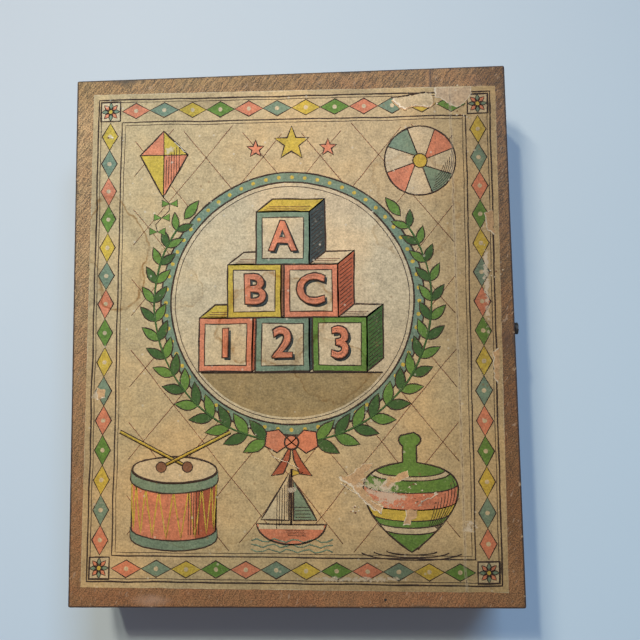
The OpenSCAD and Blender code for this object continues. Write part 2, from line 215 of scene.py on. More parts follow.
class Finish(Graph):
    """A procedural material round one Principled shader, its colour laid on coat by coat."""

    def __init__(self, name, roughness=0.6, metallic=0.0, specular=0.35):
        self.material = bpy.data.materials.new(name)
        self.material.use_nodes = True
        super().__init__(self.material.node_tree)
        self.shader = self.tree.nodes["Principled BSDF"]
        self.shader.inputs["Roughness"].default_value = roughness
        self.shader.inputs["Metallic"].default_value = metallic
        self.shader.inputs["Specular IOR Level"].default_value = specular
        # Object coordinates in millimetres
        self.spot = self.scaled(self.add("ShaderNodeTexCoord", out="Object"), (1 / MM, 1 / MM, 1 / MM))
        parts = self.add("ShaderNodeSeparateXYZ", {0: self.spot}).socket.node
        self.x, self.y, self.z = [Flow(self, socket) for socket in parts.outputs]
        self.colour = None

    def scaled(self, vector, factors):
        """A vector or colour times three factors."""
        return self.add("ShaderNodeVectorMath", {0: vector, 1: factors}, operation="MULTIPLY")

    def moved(self, vector, other):
        """A vector plus another."""
        return self.add("ShaderNodeVectorMath", {0: vector, 1: other}, operation="ADD")

    def far(self, vector):
        """The length of a vector."""
        return self.add("ShaderNodeVectorMath", {0: vector}, out="Value", operation="LENGTH")

    def turned(self, vector, angle):
        """A vector turned about Z."""
        return self.add("ShaderNodeMapping", {"Vector": vector, "Rotation": (0.0, 0.0, angle)})

    def grey(self, value):
        """A vector of three equal parts."""
        return self.add("ShaderNodeCombineXYZ", {0: value, 1: value, 2: value})

    def noise(self, vector, scale=1.0, detail=2.0, rough=0.5, bend=0.0, out=0):
        """Soft noise from 0 to 1."""
        return self.add("ShaderNodeTexNoise", {"Vector": vector, "Scale": scale, "Detail": detail,
                                               "Roughness": rough, "Distortion": bend}, out)

    def drift(self, vector, scale, reach, detail=2.0):
        """A vector led astray by noise."""
        centred = self.moved(self.noise(vector, scale, detail, out="Color"), (-0.5, -0.5, -0.5))
        return self.moved(vector, self.scaled(centred, (reach, reach, reach)))

    def cells(self, vector, scale):
        """Distance to the nearest of scattered points."""
        return self.add("ShaderNodeTexVoronoi", {"Vector": vector, "Scale": scale}, out="Distance")

    def step(self, value, low, high):
        """0 below low, 1 above high, smooth between; low may be the larger."""
        if low > high:
            return 1.0 - self.step(value, high, low)
        return self.add("ShaderNodeMapRange", {"Value": value, "From Min": low, "From Max": high},
                        interpolation_type="SMOOTHSTEP")

    def patch(self, spot, x, y, half_x, half_y, turn=0.0):
        """1 in the middle of an upright oval column, 0 at its rim, in millimetres."""
        near = self.add("ShaderNodeMapping", {"Vector": spot, "Location": (x, y, 0.0),
                                              "Rotation": (0.0, 0.0, turn),
                                              "Scale": (half_x, half_y, 1000.0)},
                        vector_type="TEXTURE")
        return self.step(self.far(near), 1.0, 0.0)

    def mix(self, share, first, second):
        """Two colours mixed."""
        first, second = [value if isinstance(value, Flow) else (*value, 1.0) for value in (first, second)]
        return self.add("ShaderNodeMix", {0: share, 6: first, 7: second}, out=2, data_type="RGBA")

    def coat(self, share, colour):
        """Covers a share of the finish with a colour."""
        self.colour = self.mix(share, self.colour, colour)

    def dye(self, share, factors):
        """Multiplies a share of the finish by three factors."""
        self.coat(share, self.scaled(self.colour, factors))

    def tone(self, colour, factor):
        """Makes the finish a colour that a factor lightens or darkens."""
        self.colour = self.scaled(colour, self.grey(factor))

    def feed(self, socket, value):
        """Links a value to one of the shader's own sockets."""
        self.tree.links.new(value.socket, self.shader.inputs[socket])

    def done(self, height=None, depth=0.0, strength=1.0):
        """Feeds the colour, and a bump of a depth in millimetres; gives the material."""
        self.feed("Base Color", self.colour)
        if height:
            self.feed("Normal", self.add("ShaderNodeBump", {"Height": height, "Distance": depth * MM,
                                                            "Strength": strength}))
        return self.material


# Finishes


# Tones that age and use leave on wood and on paper; the dark edges also carry painted shade, and the pale
# crease is a painted highlight
END_GRAIN = (0.060, 0.030, 0.018)
PORE = (0.050, 0.026, 0.016)
FLECK = (0.42, 0.29, 0.19)
HANDLED_AND_SHADED_EDGE = (0.055, 0.027, 0.018)
WORN_AND_SHADED_EDGE = (0.032, 0.015, 0.010)
SOOT = (0.042, 0.030, 0.022)
THUMBED = (0.060, 0.028, 0.016)
CRACK_SIDE = (0.060, 0.034, 0.024)
CRACK = (0.040, 0.020, 0.014)
RUBBED = (0.40, 0.24, 0.155)
KNOCK = (0.42, 0.28, 0.16)
DIRT = (0.07, 0.038, 0.024)
CUBE_SMEAR = (0.16, 0.10, 0.06)
FOXING = (0.20, 0.115, 0.05)
PALE_SPECK = (0.56, 0.49, 0.37)
CREASE_HIGHLIGHT = (0.56, 0.48, 0.35)
SPLIT = (0.085, 0.048, 0.028)
PAPER_CRACK = (0.10, 0.055, 0.035)
BROWNED_BRASS = (0.110, 0.072, 0.036)
BRASS_SPOT = (0.07, 0.075, 0.045)

# Factors of a dye
TIDE_DYE = (0.60, 0.47, 0.33)
DAMP_DYE = (0.80, 0.70, 0.55)
GRIME_DYE = (0.62, 0.58, 0.50)
SOOT_DYE = (0.55, 0.55, 0.55)

# Water marks on the label in millimetres: middle, half width, half length, turn and strength
TIDES = ((-88.0, 42.0, 24.0, 40.0, 0.3, 1.0), (-58.0, 24.0, 22.0, 20.0, 0.0, 0.6),
         (-8.0, 6.0, 40.0, 30.0, 0.2, 0.9), (18.0, -18.0, 26.0, 22.0, -0.3, 0.8),
         (62.0, 62.0, 30.0, 38.0, 0.0, 0.5), (-30.0, -92.0, 44.0, 18.0, 0.1, 0.4))
# Rubbed places, most of them round the torn ones: middle, half width, half length and turn
SCUFFS = ((44.0, -78.0, 30.0, 14.0, -0.4), (0.0, -76.0, 6.0, 4.0, 0.0), (-97.0, -30.0, 4.5, 5.0, 0.3),
          (-60.0, 93.0, 9.0, 4.5, 0.5), (84.0, -94.0, 8.0, 6.0, 0.1), (96.0, 20.0, 3.5, 60.0, 0.0),
          (30.0, -118.0, 60.0, 3.0, 0.0))
# Stains and rubbed marks on the lid's boards and label: middle, half width and half length
SMUDGE = (-84.0, 131.5, 15.0, 4.4)
THUMB_MARK = (105.5, -6.0, 6.0, 12.0)
RUBBED_MARK = (-68.0, -128.0, 13.0, 4.0)
SOOT_MARKS = ((-44.0, 117.0, 22.0, 8.0), (32.0, 121.0, 30.0, 5.0))
DARK_FOOT = (12.0, -122.0, 95.0, 34.0)
# Where the cracks from the lid's back edge run
BOARD_CRACK_X = 71.7
PAPER_CRACK_X = 73.3


def along(grain, share):
    """Factors that draw a pattern out along X or Y."""
    return (share, 1.0, 1.0) if grain == "x" else (1.0, share, 1.0)


def wood_finish(name, tools, grain, lid=False):
    """Old waxed softwood: soft rings, fine fibres, flecks, darkened edges and small knocks."""
    wood = Finish(name, roughness=0.52, specular=0.3)
    lengthways = wood.scaled(wood.spot, along(grain, 0.10))
    leaning = wood.scaled(wood.turned(wood.spot, 0.42), along(grain, 0.30))
    rings = wood.noise(wood.drift(lengthways, 0.05, 5.0), 0.16, 3.0, 0.6, 0.6)
    fibres = wood.noise(lengthways, 1.3, 3.0, 0.65)
    flecks = wood.noise(leaning, 0.62, 2.5, 0.7)
    grit = wood.step(wood.noise(wood.spot, 1.7, 1.0, 0.8), 0.38, 0.62) - 0.5
    cloud = wood.noise(wood.spot, 0.028, 2.0, 0.5)
    rim_x = BOX_HALF_X - abs(wood.x)
    rim_y = BOX_HALF_Y - abs(wood.y)
    rim = rim_x.least(rim_y)
    grown = 0.50 * rings + 0.50 * fibres + 0.50 * flecks + 0.40 * cloud
    if lid:
        age_and_light_lid(wood, tools, grown, grit)
    else:
        wood.colour = wood.mix(wood.step(cloud, 0.35, 0.7), tools.wood, tools.wood_dark)
        wood.tone(wood.colour, 1.08)
        wood.tone(wood.colour, 1.15 * grown + 0.5 * rings + 0.22 * grit - 0.28)
        wood.coat(wood.step(rim_x if grain == "x" else rim_y, 0.25, 0.05) * 0.45, END_GRAIN)
    tint = wood.noise(wood.drift(wood.spot, 0.1, 6.0), 0.09, 4.0, 0.6)
    wood.dye(wood.step(tint, 0.45, 0.65) * 0.4, (1.10, 0.92, 0.83))
    wood.dye(wood.step(tint, 0.50, 0.34) * 0.35, (0.84, 0.92, 0.86))
    pores = wood.step(wood.noise(lengthways, 2.6, 1.0), 0.66, 0.74)
    wood.coat(pores * 0.45, PORE)
    pale = wood.step(wood.noise(leaning, 0.9, 1.0), 0.66, 0.76)
    wood.coat(pale * (0.42 if lid else 0.20), FLECK)
    # Hands and shelves have dulled the outer edges; the darkening there is also painted shade on the rounded
    # edges of the lid's top
    crown = abs(BOARD_TOP - wood.z).most(rim) + wood.noise(wood.spot, 0.22, 3.0)
    wood.coat(wood.step(crown, 1.55, 0.7) * 0.75, HANDLED_AND_SHADED_EDGE)
    if lid:
        wear_lid(wood, rim)
    knocks = wood.step(wood.noise(wood.spot, 0.33, 2.0), 0.66, 0.72) * wood.step(rim, 3.0, 0.6)
    wood.coat(knocks * (0.55 if lid else 0.22), KNOCK)
    wood.coat(wood.step(wood.noise(wood.spot, 0.09, 4.0, 0.7), 0.62, 0.74) * 0.4, DIRT)
    wood.feed("Roughness", 0.42 + 0.25 * fibres + 0.12 * cloud)
    return wood.done(fibres * 0.5 + flecks * 0.35 + rings * 0.3 - pores * 0.5 - knocks * 0.8, 0.25, 0.7)


def age_and_light_lid(wood, tools, grown, grit):
    """Lightens the lid's back and left, part faded wood and part painted light; darkens its back edge and
    front; darkens its right, part browning and part painted shade; lays saw strokes and grit on its top.
    """
    # Painted light, partly real fading: the lid is lighter towards the back and the left
    fading_and_light = wood.step(wood.y, -110.0, 60.0) * (0.45 + 0.55 * wood.step(wood.x, 40.0, -100.0))
    wood.colour = wood.mix(fading_and_light, tools.wood, tools.sunned_and_lit_wood)
    wood.dye(wood.step(wood.y, 112.0, 124.0), (0.80, 0.77, 0.68))
    wood.dye(wood.step(wood.y, -118.0, -125.0), (0.94, 0.91, 0.92))
    wood.coat(wood.step(wood.x, SEAM_X - 0.1, SEAM_X + 0.1) * 0.3, tools.wood_dark)
    # Painted shade, partly the wood's own browning: the lid's right side darker
    right = wood.step(wood.x, 92.0, 102.0) * wood.step(wood.y, -125.0, -90.0)
    wood.dye(right, (0.74, 0.69, 0.63))
    wood.dye(right * wood.step(wood.y, -75.0, -30.0), (0.80, 0.78, 0.71))
    strokes = wood.scaled(wood.turned(wood.spot, -0.9), (0.13, 1.0, 1.0))
    sawn = wood.step(wood.noise(strokes, 1.5, 1.0, 0.6), 0.38, 0.62) - 0.5
    back = wood.step(wood.y, -100.0, 120.0)
    harsh = (0.85 + 0.20 * back) * grit + (0.28 + 0.40 * back) * sawn
    top = wood.step(wood.z, BOARD_TOP - 2.5, BOARD_TOP - 1.0)
    wood.tone(wood.colour, 0.62 * grown + harsh * (0.3 + 0.7 * top) + 0.40)


def wear_lid(wood, rim):
    """Worn edges darkened by wear and by painted shade, the left, front and right ones the most; stains, and
    a crack from the back edge.
    """
    # Wear and painted shade: a dark band along the lid's outer edges
    near = (BOX_HALF_Y + wood.y).least(BOX_HALF_X - wood.x)
    worn_and_shaded = near.least(BOX_HALF_X + wood.x - 0.1).least(BOX_HALF_Y - wood.y + 0.15)
    worn_and_shaded = worn_and_shaded + wood.noise(wood.spot, 0.5, 2.0) * 0.6 + (BOARD_TOP - wood.z) * 1.2
    wood.coat(wood.step(worn_and_shaded, 1.55, 0.8) * 0.92, WORN_AND_SHADED_EDGE)
    stained = wood.step(wood.noise(wood.spot, 0.075, 3.0), 0.58, 0.66) * wood.step(rim, 2.2, 0.5)
    stained = stained * wood.step(wood.z, BOARD_TOP - 2.0, BOARD_TOP - 0.3)
    smudge = wood.patch(wood.drift(wood.spot, 0.3, 3.0), *SMUDGE)
    wood.coat((stained + smudge * 1.3).least(1.0) * 0.8, SOOT)
    wood.coat(wood.patch(wood.drift(wood.spot, 0.25, 4.0), *THUMB_MARK) * 0.6, THUMBED)
    crack = abs(wood.x - BOARD_CRACK_X - 0.6 * wood.noise(wood.spot, 0.5)) + wood.step(wood.y, 124.0, 116.0)
    wood.coat(wood.step(crack, 1.3, 0.2) * 0.45, CRACK_SIDE)
    wood.coat(wood.step(crack, 0.40, 0.12) * 0.7, CRACK)
    wood.coat(wood.patch(wood.drift(wood.spot, 0.2, 4.0), *RUBBED_MARK) * 0.6, RUBBED)


def cube_wood_finish(tools):
    """Pale beech, rubbed grey."""
    wood = Finish("cube_beech", roughness=0.62, specular=0.25)
    rays = wood.noise(wood.scaled(wood.spot, along("y", 0.35)), 1.1, 2.0)
    rings = wood.noise(wood.drift(wood.scaled(wood.spot, along("y", 0.12)), 0.06, 3.0), 0.35, 3.0)
    wood.tone(tools.cube_wood, 0.55 + 0.5 * rings + 0.4 * rays)
    wood.coat(wood.step(wood.noise(wood.spot, 0.14, 3.0), 0.5, 0.75) * 0.5, CUBE_SMEAR)
    return wood.done(rings * 0.6 + rays * 0.4, 0.15, 0.6)


def paper_finish(name, tools, printed, lid):
    """Old pasted paper: mottled, foxed, stained, rubbed through where the lid was handled."""
    paper = Finish(name, roughness=0.78, specular=0.22)
    spot = paper.spot
    fine = paper.noise(spot, 0.75, 2.0, 0.7)
    mottle = paper.noise(spot, 0.21, 3.0, 0.6)
    cloud = paper.noise(spot, 0.028, 3.0, 0.55)
    streak = paper.noise(paper.scaled(spot, (0.16, 1.5, 1.0)), 0.5, 2.0)
    grain = paper.step(paper.noise(spot, 1.1, 2.0, 0.7), 0.34, 0.66)
    ground = paper.add("ShaderNodeVertexColor", out="Color", layer_name="ink") if printed else tools.paper
    paper.tone(ground, 0.75 * fine + 0.80 * mottle + 0.55 * cloud + 0.18 * streak + 0.30 * grain - 0.26)
    paper.dye(paper.step(cloud, 0.42, 0.66) * 0.5, (1.08, 0.96, 0.80))
    # Printed inks have sunk in and rubbed thin
    paper.coat(paper.step(paper.noise(spot, 0.55, 3.0, 0.7), 0.58, 0.75) * 0.22, tools.torn)
    foxed = paper.step(paper.cells(spot, 0.16), 0.16, 0.06) * paper.step(mottle, 0.45, 0.60)
    paper.coat(foxed * 0.55, FOXING)
    specks = paper.cells(paper.moved(spot, (31.0, 17.0, 0.0)), 0.13)
    paper.coat(paper.step(specks, 0.10, 0.05) * 0.55, PALE_SPECK)
    grazes = paper.noise(paper.turned(paper.scaled(spot, (0.25, 1.3, 1.0)), 0.5), 0.30, 3.0, 0.7)
    paper.coat(paper.step(grazes, 0.70, 0.76) * 0.30, tools.torn)
    height = fine * 0.3 + mottle * 0.4 + streak * 0.2
    if lid:
        height = height + wear_label(paper, tools, mottle)
        age_label(paper)
    paper.feed("Roughness", 0.68 + 0.22 * mottle)
    return paper.done(height, 0.10, 0.7)


def wear_label(paper, tools, mottle):
    """Stains, scuffs and creases of the lid's label, where the real one has them; gives their height."""
    spot = paper.spot
    strayed = paper.drift(spot, 0.05, 26.0, 5.0)
    for *place, strength in TIDES:
        wet = paper.patch(strayed, *place)
        tide = paper.step(abs(wet - 0.20), 0.05, 0.0) * (0.35 + 0.65 * paper.step(mottle, 0.40, 0.58))
        paper.dye(tide * strength, TIDE_DYE)
        damp = paper.step(wet, 0.16, 0.24) * paper.step(wet, 0.85, 0.25)
        paper.dye(damp * 0.30 * strength, DAMP_DYE)
    # Handling has darkened the right side and the foot, and soot the back edge
    side = paper.x + paper.noise(spot, 0.05, 2.0) * 30.0
    foot = paper.y * 0.8 - paper.x * 0.35 + paper.noise(spot, 0.06, 3.0) * 30.0
    grime = (paper.step(side, 55.0, 118.0) * 0.55).most(paper.step(foot, -70.0, -112.0) * 0.75)
    paper.dye(grime, GRIME_DYE)
    soot = reduce(Flow.most, [paper.patch(strayed, *place) for place in SOOT_MARKS])
    paper.dye(soot * mottle * 1.1, SOOT_DYE)
    scuff = reduce(Flow.most, [paper.patch(spot, *place) for place in SCUFFS])
    rough = paper.noise(paper.drift(spot, 0.5, 2.0), 0.42, 4.0, 0.75)
    bare = paper.step(scuff * 0.42 + rough, 0.80, 0.86)
    paper.coat(bare * 0.75, tools.torn)
    # The crease over the seam of the two boards, with a pale painted highlight along its ridge and a dark
    # split in it, and a short crack beside it
    along = paper.scaled(spot, (0.0, 1.0, 0.0))
    wander = paper.x + (paper.noise(along, 0.06, 4.0, 0.7) - 0.5) * 2.4
    broken = paper.step(paper.noise(along, 0.30, 3.0, 0.6), 0.46, 0.56)
    seam = abs(wander - (SEAM_X - 0.6))
    paper.coat(paper.step(seam, 1.0, 0.3) * 0.24, CREASE_HIGHLIGHT)
    paper.coat(paper.step(seam, 0.34, 0.10) * (0.15 + 0.60 * broken), SPLIT)
    crack = abs(wander - PAPER_CRACK_X - (paper.y - 100.0) * 0.01)
    reach = paper.step(paper.y, 10.0, 118.0) * 0.75
    paper.coat(paper.step(crack, 0.36, 0.10) * reach * broken, PAPER_CRACK)
    return paper.step(seam, 1.3, 0.2) * 0.7 - bare


def age_label(paper):
    """The label is lighter and cooler at the back and browner at the front, partly fading and wear and
    partly painted light and shade; wear has also darkened its right and left edge.
    """
    # Painted light and shade, partly real fading: lighter towards the back, browner towards the front
    back = paper.step(paper.y, -75.0, 60.0)
    browned_and_shaded, bleached_and_lit = [paper.scaled(paper.colour, dye) for dye in ((0.97, 0.92, 0.84), (1.05, 1.06, 1.12))]
    paper.colour = paper.mix(back, browned_and_shaded, bleached_and_lit)
    left = paper.step(paper.x, 30.0, -100.0) * back
    paper.dye(left, (0.96, 1.01, 1.04))
    paper.dye(paper.step(paper.x, 55.0, 92.0) * paper.step(paper.y, -40.0, 10.0), (0.84, 0.77, 0.69))
    foot = paper.patch(paper.drift(paper.spot, 0.04, 20.0), *DARK_FOOT)
    paper.dye(foot.math("POWER", foot, 0.5), (0.76, 0.77, 0.76))
    paper.tone(paper.colour, 1.0 - 0.13 * paper.step(paper.x, -94.0, -99.0))
    pink = paper.step(paper.noise(paper.spot, 0.016, 2.0), 0.42, 0.58) * (1.0 - left)
    paper.dye(pink * 0.6, (1.06, 0.97, 0.92))


def brass_finish(tools):
    """Brass gone brown, bright where it rubs."""
    brass = Finish("old_brass", roughness=0.42, metallic=1.0)
    bloom = brass.noise(brass.spot, 0.35, 4.0, 0.6)
    spots = brass.step(brass.noise(brass.spot, 1.3, 2.0), 0.62, 0.72)
    brass.colour = brass.mix(brass.step(bloom, 0.35, 0.65), tools.brass, BROWNED_BRASS)
    brass.coat(spots * 0.6, BRASS_SPOT)
    brass.feed("Roughness", 0.34 + 0.30 * bloom)
    return brass.done(bloom + spots * 0.4, 0.05, 0.6)


def iron_finish(name, tools, colour, rust):
    """Blackened or dulled iron with scale and specks of rust."""
    iron = Finish(name, roughness=0.55, metallic=0.85)
    scale = iron.noise(iron.spot, 0.8, 4.0, 0.6)
    rusty = iron.step(iron.noise(iron.spot, 0.45, 4.0, 0.7), 0.66 - rust, 0.80 - rust)
    iron.tone(colour, 0.55 + 0.9 * scale)
    iron.coat(rusty, tools.rust)
    iron.feed("Metallic", 0.9 - 0.8 * rusty)
    iron.feed("Roughness", 0.42 + 0.35 * scale + 0.1 * rusty)
    return iron.done(scale + rusty * 0.5, 0.06, 0.8)


def floor_finish(tools, light):
    """Plain pale table with the faintest mottle, and painted light across it."""
    table = Finish("pale_table", roughness=0.7, specular=0.1)
    table.tone(tools.floor, 0.985 + 0.03 * table.noise(table.spot, 0.006, 2.0))
    # Painted light: the table is lighter and bluer towards the front, darker towards the back, and a little
    # lighter towards the left
    limit = 320.0
    for part, slope in ((table.x, (-0.134, -0.035, -0.052)), (table.y, (-0.562, -0.768, -0.863))):
        shift = (part / limit).math("TANH", part / limit) * (limit * MM)
        tint = table.moved(table.scaled(table.grey(shift), slope), (1.0, 1.0, 1.0))
        table.colour = table.scaled(table.colour, tint)
    # Far from the box the table goes over into the background
    seen = table.add("ShaderNodeLightPath", out="Is Camera Ray")
    far = table.step(table.far(table.spot), 270.0, 950.0) * seen
    glow = table.add("ShaderNodeEmission", {"Color": (*light.background, 1.0)})
    near = table.found("Principled BSDF")
    table.shown("Material Output", table.add("ShaderNodeMixShader", {0: far, 1: near, 2: glow}))
    return table.done()


def dress(material, nodes):
    """Gives CAD nodes one material."""
    for node in nodes:
        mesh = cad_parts[node].data
        mesh.materials.clear()
        mesh.materials.append(material)


# Drawing kit: shapes are flat, in millimetres or in units of a motif's size, and face +Z


def spread(points, closed=True, pitch=4.0, size=1.0):
    """The same outline with more points along its long edges, for points in units of a size."""
    ends = points[1:] + points[:1] if closed else points[1:]
    dense = []
    for (x0, y0), (x1, y1) in zip(points, ends):
        parts = max(1, round(math.hypot(x1 - x0, y1 - y0) * size / pitch))
        dense += [(x0 + (x1 - x0) * i / parts, y0 + (y1 - y0) * i / parts) for i in range(parts)]
    return dense if closed else dense + [points[-1]]


def spoke(x, y, radius, angle, squeeze=1.0):
    """The point of a circle or oval at an angle in degrees."""
    turn = math.radians(angle)
    return x + radius * math.cos(turn), y + radius * squeeze * math.sin(turn)


def arc(x, y, radius, start, end, parts, squeeze=1.0):
    """Points on an arc, its angles in degrees, both ends among them."""
    return [spoke(x, y, radius, start + (end - start) * i / parts, squeeze) for i in range(parts + 1)]


def circle(x, y, radius, parts=28, squeeze=1.0):
    """Points round a circle."""
    return arc(x, y, radius, 0, 360, parts, squeeze)[:-1]


def box_outline(x0, y0, x1, y1):
    """Corners of an upright rectangle."""
    return [(x0, y0), (x1, y0), (x1, y1), (x0, y1)]


def frame_outline(half_x, half_y, x=0.0, y=0.0):
    """Corners of a rectangle round its middle."""
    return box_outline(x - half_x, y - half_y, x + half_x, y + half_y)


def star_outline(x, y, outer, inner, rays):
    """Points of a star that stands on its foot."""
    return [spoke(x, y, (outer, inner)[i % 2], 90 + 180 * i / rays) for i in range(2 * rays)]


def leaf_outline(x, y, length, width, turn, parts=6):
    """A pointed leaf from its stalk."""
    upper = [(i / parts, math.sin(math.pi * (i / parts) ** 0.85)) for i in range(parts + 1)]
    lower = [(t, -s) for t, s in reversed(upper[1:-1])]
    cos, sin = spoke(0.0, 0.0, 1.0, turn)
    return [(x + t * length * cos - s * width / 2 * sin, y + t * length * sin + s * width / 2 * cos)
            for t, s in upper + lower]


def ragged(points, bite, seed, pitch=0.8, closed=True):
    """A torn outline: short steps, each led astray."""
    dense = spread(points, closed, pitch)
    strays = [noise.noise_vector(Vector((x * 0.6, y * 0.6, 5.0 + 7.0 * seed))) for x, y in dense]
    return [(x + bite * stray.x, y + bite * stray.y) for (x, y), stray in zip(dense, strays)]


def mesh_of(data):
    """The mesh of a text or curve."""
    carrier = bpy.data.objects.new("carrier", data)
    mesh = bpy.data.meshes.new_from_object(carrier)
    bpy.data.objects.remove(carrier)
    return mesh


GLYPHS = {}


def glyph_mesh(sign):
    """A letter or number 1 high."""
    if sign not in GLYPHS:
        text = bpy.data.curves.new("sign", "FONT")
        text.body = sign
        text.size = 1.38
        text.resolution_u = 4
        text.align_x = "CENTER"
        text.align_y = "CENTER"
        GLYPHS[sign] = mesh_of(text)
        bpy.data.curves.remove(text)
    return GLYPHS[sign]


def rims(shape):
    """The outlines of a flat shape, walked along its open edges."""
    left = [edge for edge in shape.edges if edge.is_boundary]
    loops = []
    while left:
        first, at = left.pop(0).verts
        loop = [first, at]
        while at != first:
            edge = next(edge for edge in left if at in edge.verts)
            left.remove(edge)
            at = edge.other_vert(at)
            loop.append(at)
        loops.append([(v.co.x, v.co.y) for v in loop[:-1]])
    return loops


def make_slab(shape, thickness):
    """Gives a flat shape a thickness, its underside at height 0."""
    bmesh.ops.solidify(shape, geom=shape.faces[:], thickness=thickness)
    lowest = min(v.co.z for v in shape.verts)
    bmesh.ops.translate(shape, vec=(0.0, 0.0, -lowest), verts=shape.verts)


class Press:
    """Lays flat coloured shapes on a paper, each a closed slab that stands on it.

    A higher level covers a lower one. A motif is drawn round its own middle, in its own size and
    up from its own level. Line weights are shares of the press's line width.
    """

    def __init__(self, inks, rise, line_width):
        self.inks = inks
        self.rise = rise
        self.line_width = line_width
        self.place = Matrix()
        self.middle, self.size, self.base = (0.0, 0.0), 1.0, 0
        # Unseeded, Blender's vector noise differs from run to run
        noise.seed_set(1)
        self.sheet = bmesh.new()
        self.sheet.loops.layers.float_color.new("ink")
        self.lines = {}

    def at(self, x, y, size, level):
        """The same press, set up for a motif."""
        motif = copy(self)
        motif.middle, motif.size, motif.base = (x, y), size, level
        return motif

    def even(self, points, closed=True):
        """A motif's outline with more points along its long edges."""
        return spread(points, closed, size=self.size)

    def keep(self, shape, ink):
        """Colours a closed shape, puts it in its place and adds it to the sheet."""
        layer = shape.loops.layers.float_color.new("ink")
        colour = (*getattr(self.inks, ink), 1.0)
        for face in shape.faces:
            for loop in face.loops:
                loop[layer] = colour
        bmesh.ops.recalc_face_normals(shape, faces=shape.faces)
        bmesh.ops.transform(shape, matrix=self.place, verts=shape.verts)
        mesh = bpy.data.meshes.new("shape")
        shape.to_mesh(mesh)
        shape.free()
        self.sheet.from_mesh(mesh)
        bpy.data.meshes.remove(mesh)

    def thicken(self, shape, ink, level):
        """Puts a motif's flat shape in its place and raises it to its level."""
        place = Matrix.Translation((*self.middle, 0.0)) @ Matrix.Scale(self.size, 4)
        bmesh.ops.transform(shape, matrix=place, verts=shape.verts)
        make_slab(shape, (self.base + level) * self.rise)
        self.keep(shape, ink)

    def fill(self, points, ink, level):
        """A filled outline."""
        shape = bmesh.new()
        shape.faces.new([shape.verts.new((x, y, 0.0)) for x, y in points])
        shape.normal_update()
        self.thicken(shape, ink, level)

    def disc(self, x, y, radius, ink, level, parts=28, squeeze=1.0):
        """A filled circle or oval."""
        shape = bmesh.new()
        bmesh.ops.create_circle(shape, cap_ends=True, radius=radius, segments=parts)
        bmesh.ops.scale(shape, vec=(1.0, squeeze, 1.0), verts=shape.verts)
        bmesh.ops.translate(shape, vec=(x, y, 0.0), verts=shape.verts)
        self.thicken(shape, ink, level)

    def line(self, points, level, weight=1.0, ink="line", closed=False):
        """A pen line through points."""
        x, y = self.middle
        placed = [(x + self.size * px, y + self.size * py) for px, py in points]
        strokes = self.lines.setdefault((ink, self.base + level), [])
        strokes.append((placed, weight * self.line_width, closed))

    def hatch(self, start, end, shift, count, level, ink="line"):
        """Parallel fine strokes, each beside the last."""
        for i in range(count):
            stroke = [(x + i * shift[0], y + i * shift[1]) for x, y in (start, end)]
            self.line(stroke, level, 0.42, ink)

    def shape(self, points, ink, level, weight=1.0):
        """A filled outline with a pen line round it."""
        self.fill(points, ink, level)
        self.line(points, level + 1, weight, closed=True)

    def round_shape(self, x, y, radius, ink, level, weight=1.0, parts=28, squeeze=1.0):
        """A filled circle or oval with a pen line round it."""
        self.disc(x, y, radius, ink, level, parts, squeeze)
        self.line(circle(x, y, radius, parts, squeeze), level + 1, weight, closed=True)

    def band(self, low, high, ink, level, weight=1.0):
        """A strip between two lines of as many points, with a pen line along each."""
        shape = bmesh.new()
        rails = [[shape.verts.new((x, y, 0.0)) for x, y in rail] for rail in (low, high)]
        for i in range(len(low) - 1):
            shape.faces.new((rails[0][i], rails[0][i + 1], rails[1][i + 1], rails[1][i]))
        shape.normal_update()
        self.thicken(shape, ink, level)
        for rail in (low, high):
            self.line(rail, level + 1, weight)

    def sign(self, sign, x, y, height, ink, level):
        """One bold plain letter or number in a dark rim, with a shadow beside it."""
        for shift, colour, rise, weight in ((0.075 * height, "slate", 0, 2.0), (0.0, ink, 2, 1.2)):
            shape = bmesh.new()
            shape.from_mesh(glyph_mesh(sign))
            bmesh.ops.remove_doubles(shape, verts=shape.verts, dist=0.0001)
            place = Matrix.Translation((x + shift, y - shift, 0.0)) @ Matrix.Scale(height, 4)
            bmesh.ops.transform(shape, matrix=place, verts=shape.verts)
            outlines = rims(shape)
            self.thicken(shape, colour, level + rise)
            for outline in outlines:
                self.line(outline, level + rise + 0.4, weight, colour, closed=True)
                if not shift:
                    self.line(outline, level + 1, 3.0, closed=True)

    def draw_lines(self):
        """Turns the pen lines drawn so far into flat bars with square sides."""
        for (ink, level), strokes in self.lines.items():
            curve = bpy.data.curves.new("lines", "CURVE")
            curve.dimensions = "3D"
            curve.twist_mode = "Z_UP"
            curve.bevel_depth = 1.0
            curve.bevel_resolution = 0
            curve.use_fill_caps = True
            for i, (points, width, closed) in enumerate(strokes):
                # Strokes that meet at a point lie a hair apart, so that merging doubles joins none of them
                hair = 0.0004 * (i % 61)
                spline = curve.splines.new("POLY")
                spline.points.add(len(points) - 1)
                for point, (x, y) in zip(spline.points, points):
                    pressed = 1.0 + 0.35 * noise.noise(Vector((x, y, 7.0)) * 0.35)
                    point.co = (x + hair, y, 0.0, 1.0)
                    point.tilt = math.pi / 4
                    point.radius = width * pressed / math.sqrt(2)
                spline.use_cyclic_u = closed
            shape = bmesh.new()
            mesh = mesh_of(curve)
            shape.from_mesh(mesh)
            bpy.data.meshes.remove(mesh)
            bpy.data.curves.remove(curve)
            for vert in shape.verts:
                vert.co.z = level * self.rise if vert.co.z > 0 else 0.0
            bmesh.ops.remove_doubles(shape, verts=shape.verts, dist=0.0001)
            self.keep(shape, ink)
        self.lines.clear()

    def move_to(self, place):
        """Finishes the pen lines and carries on at another place."""
        self.draw_lines()
        self.place = place

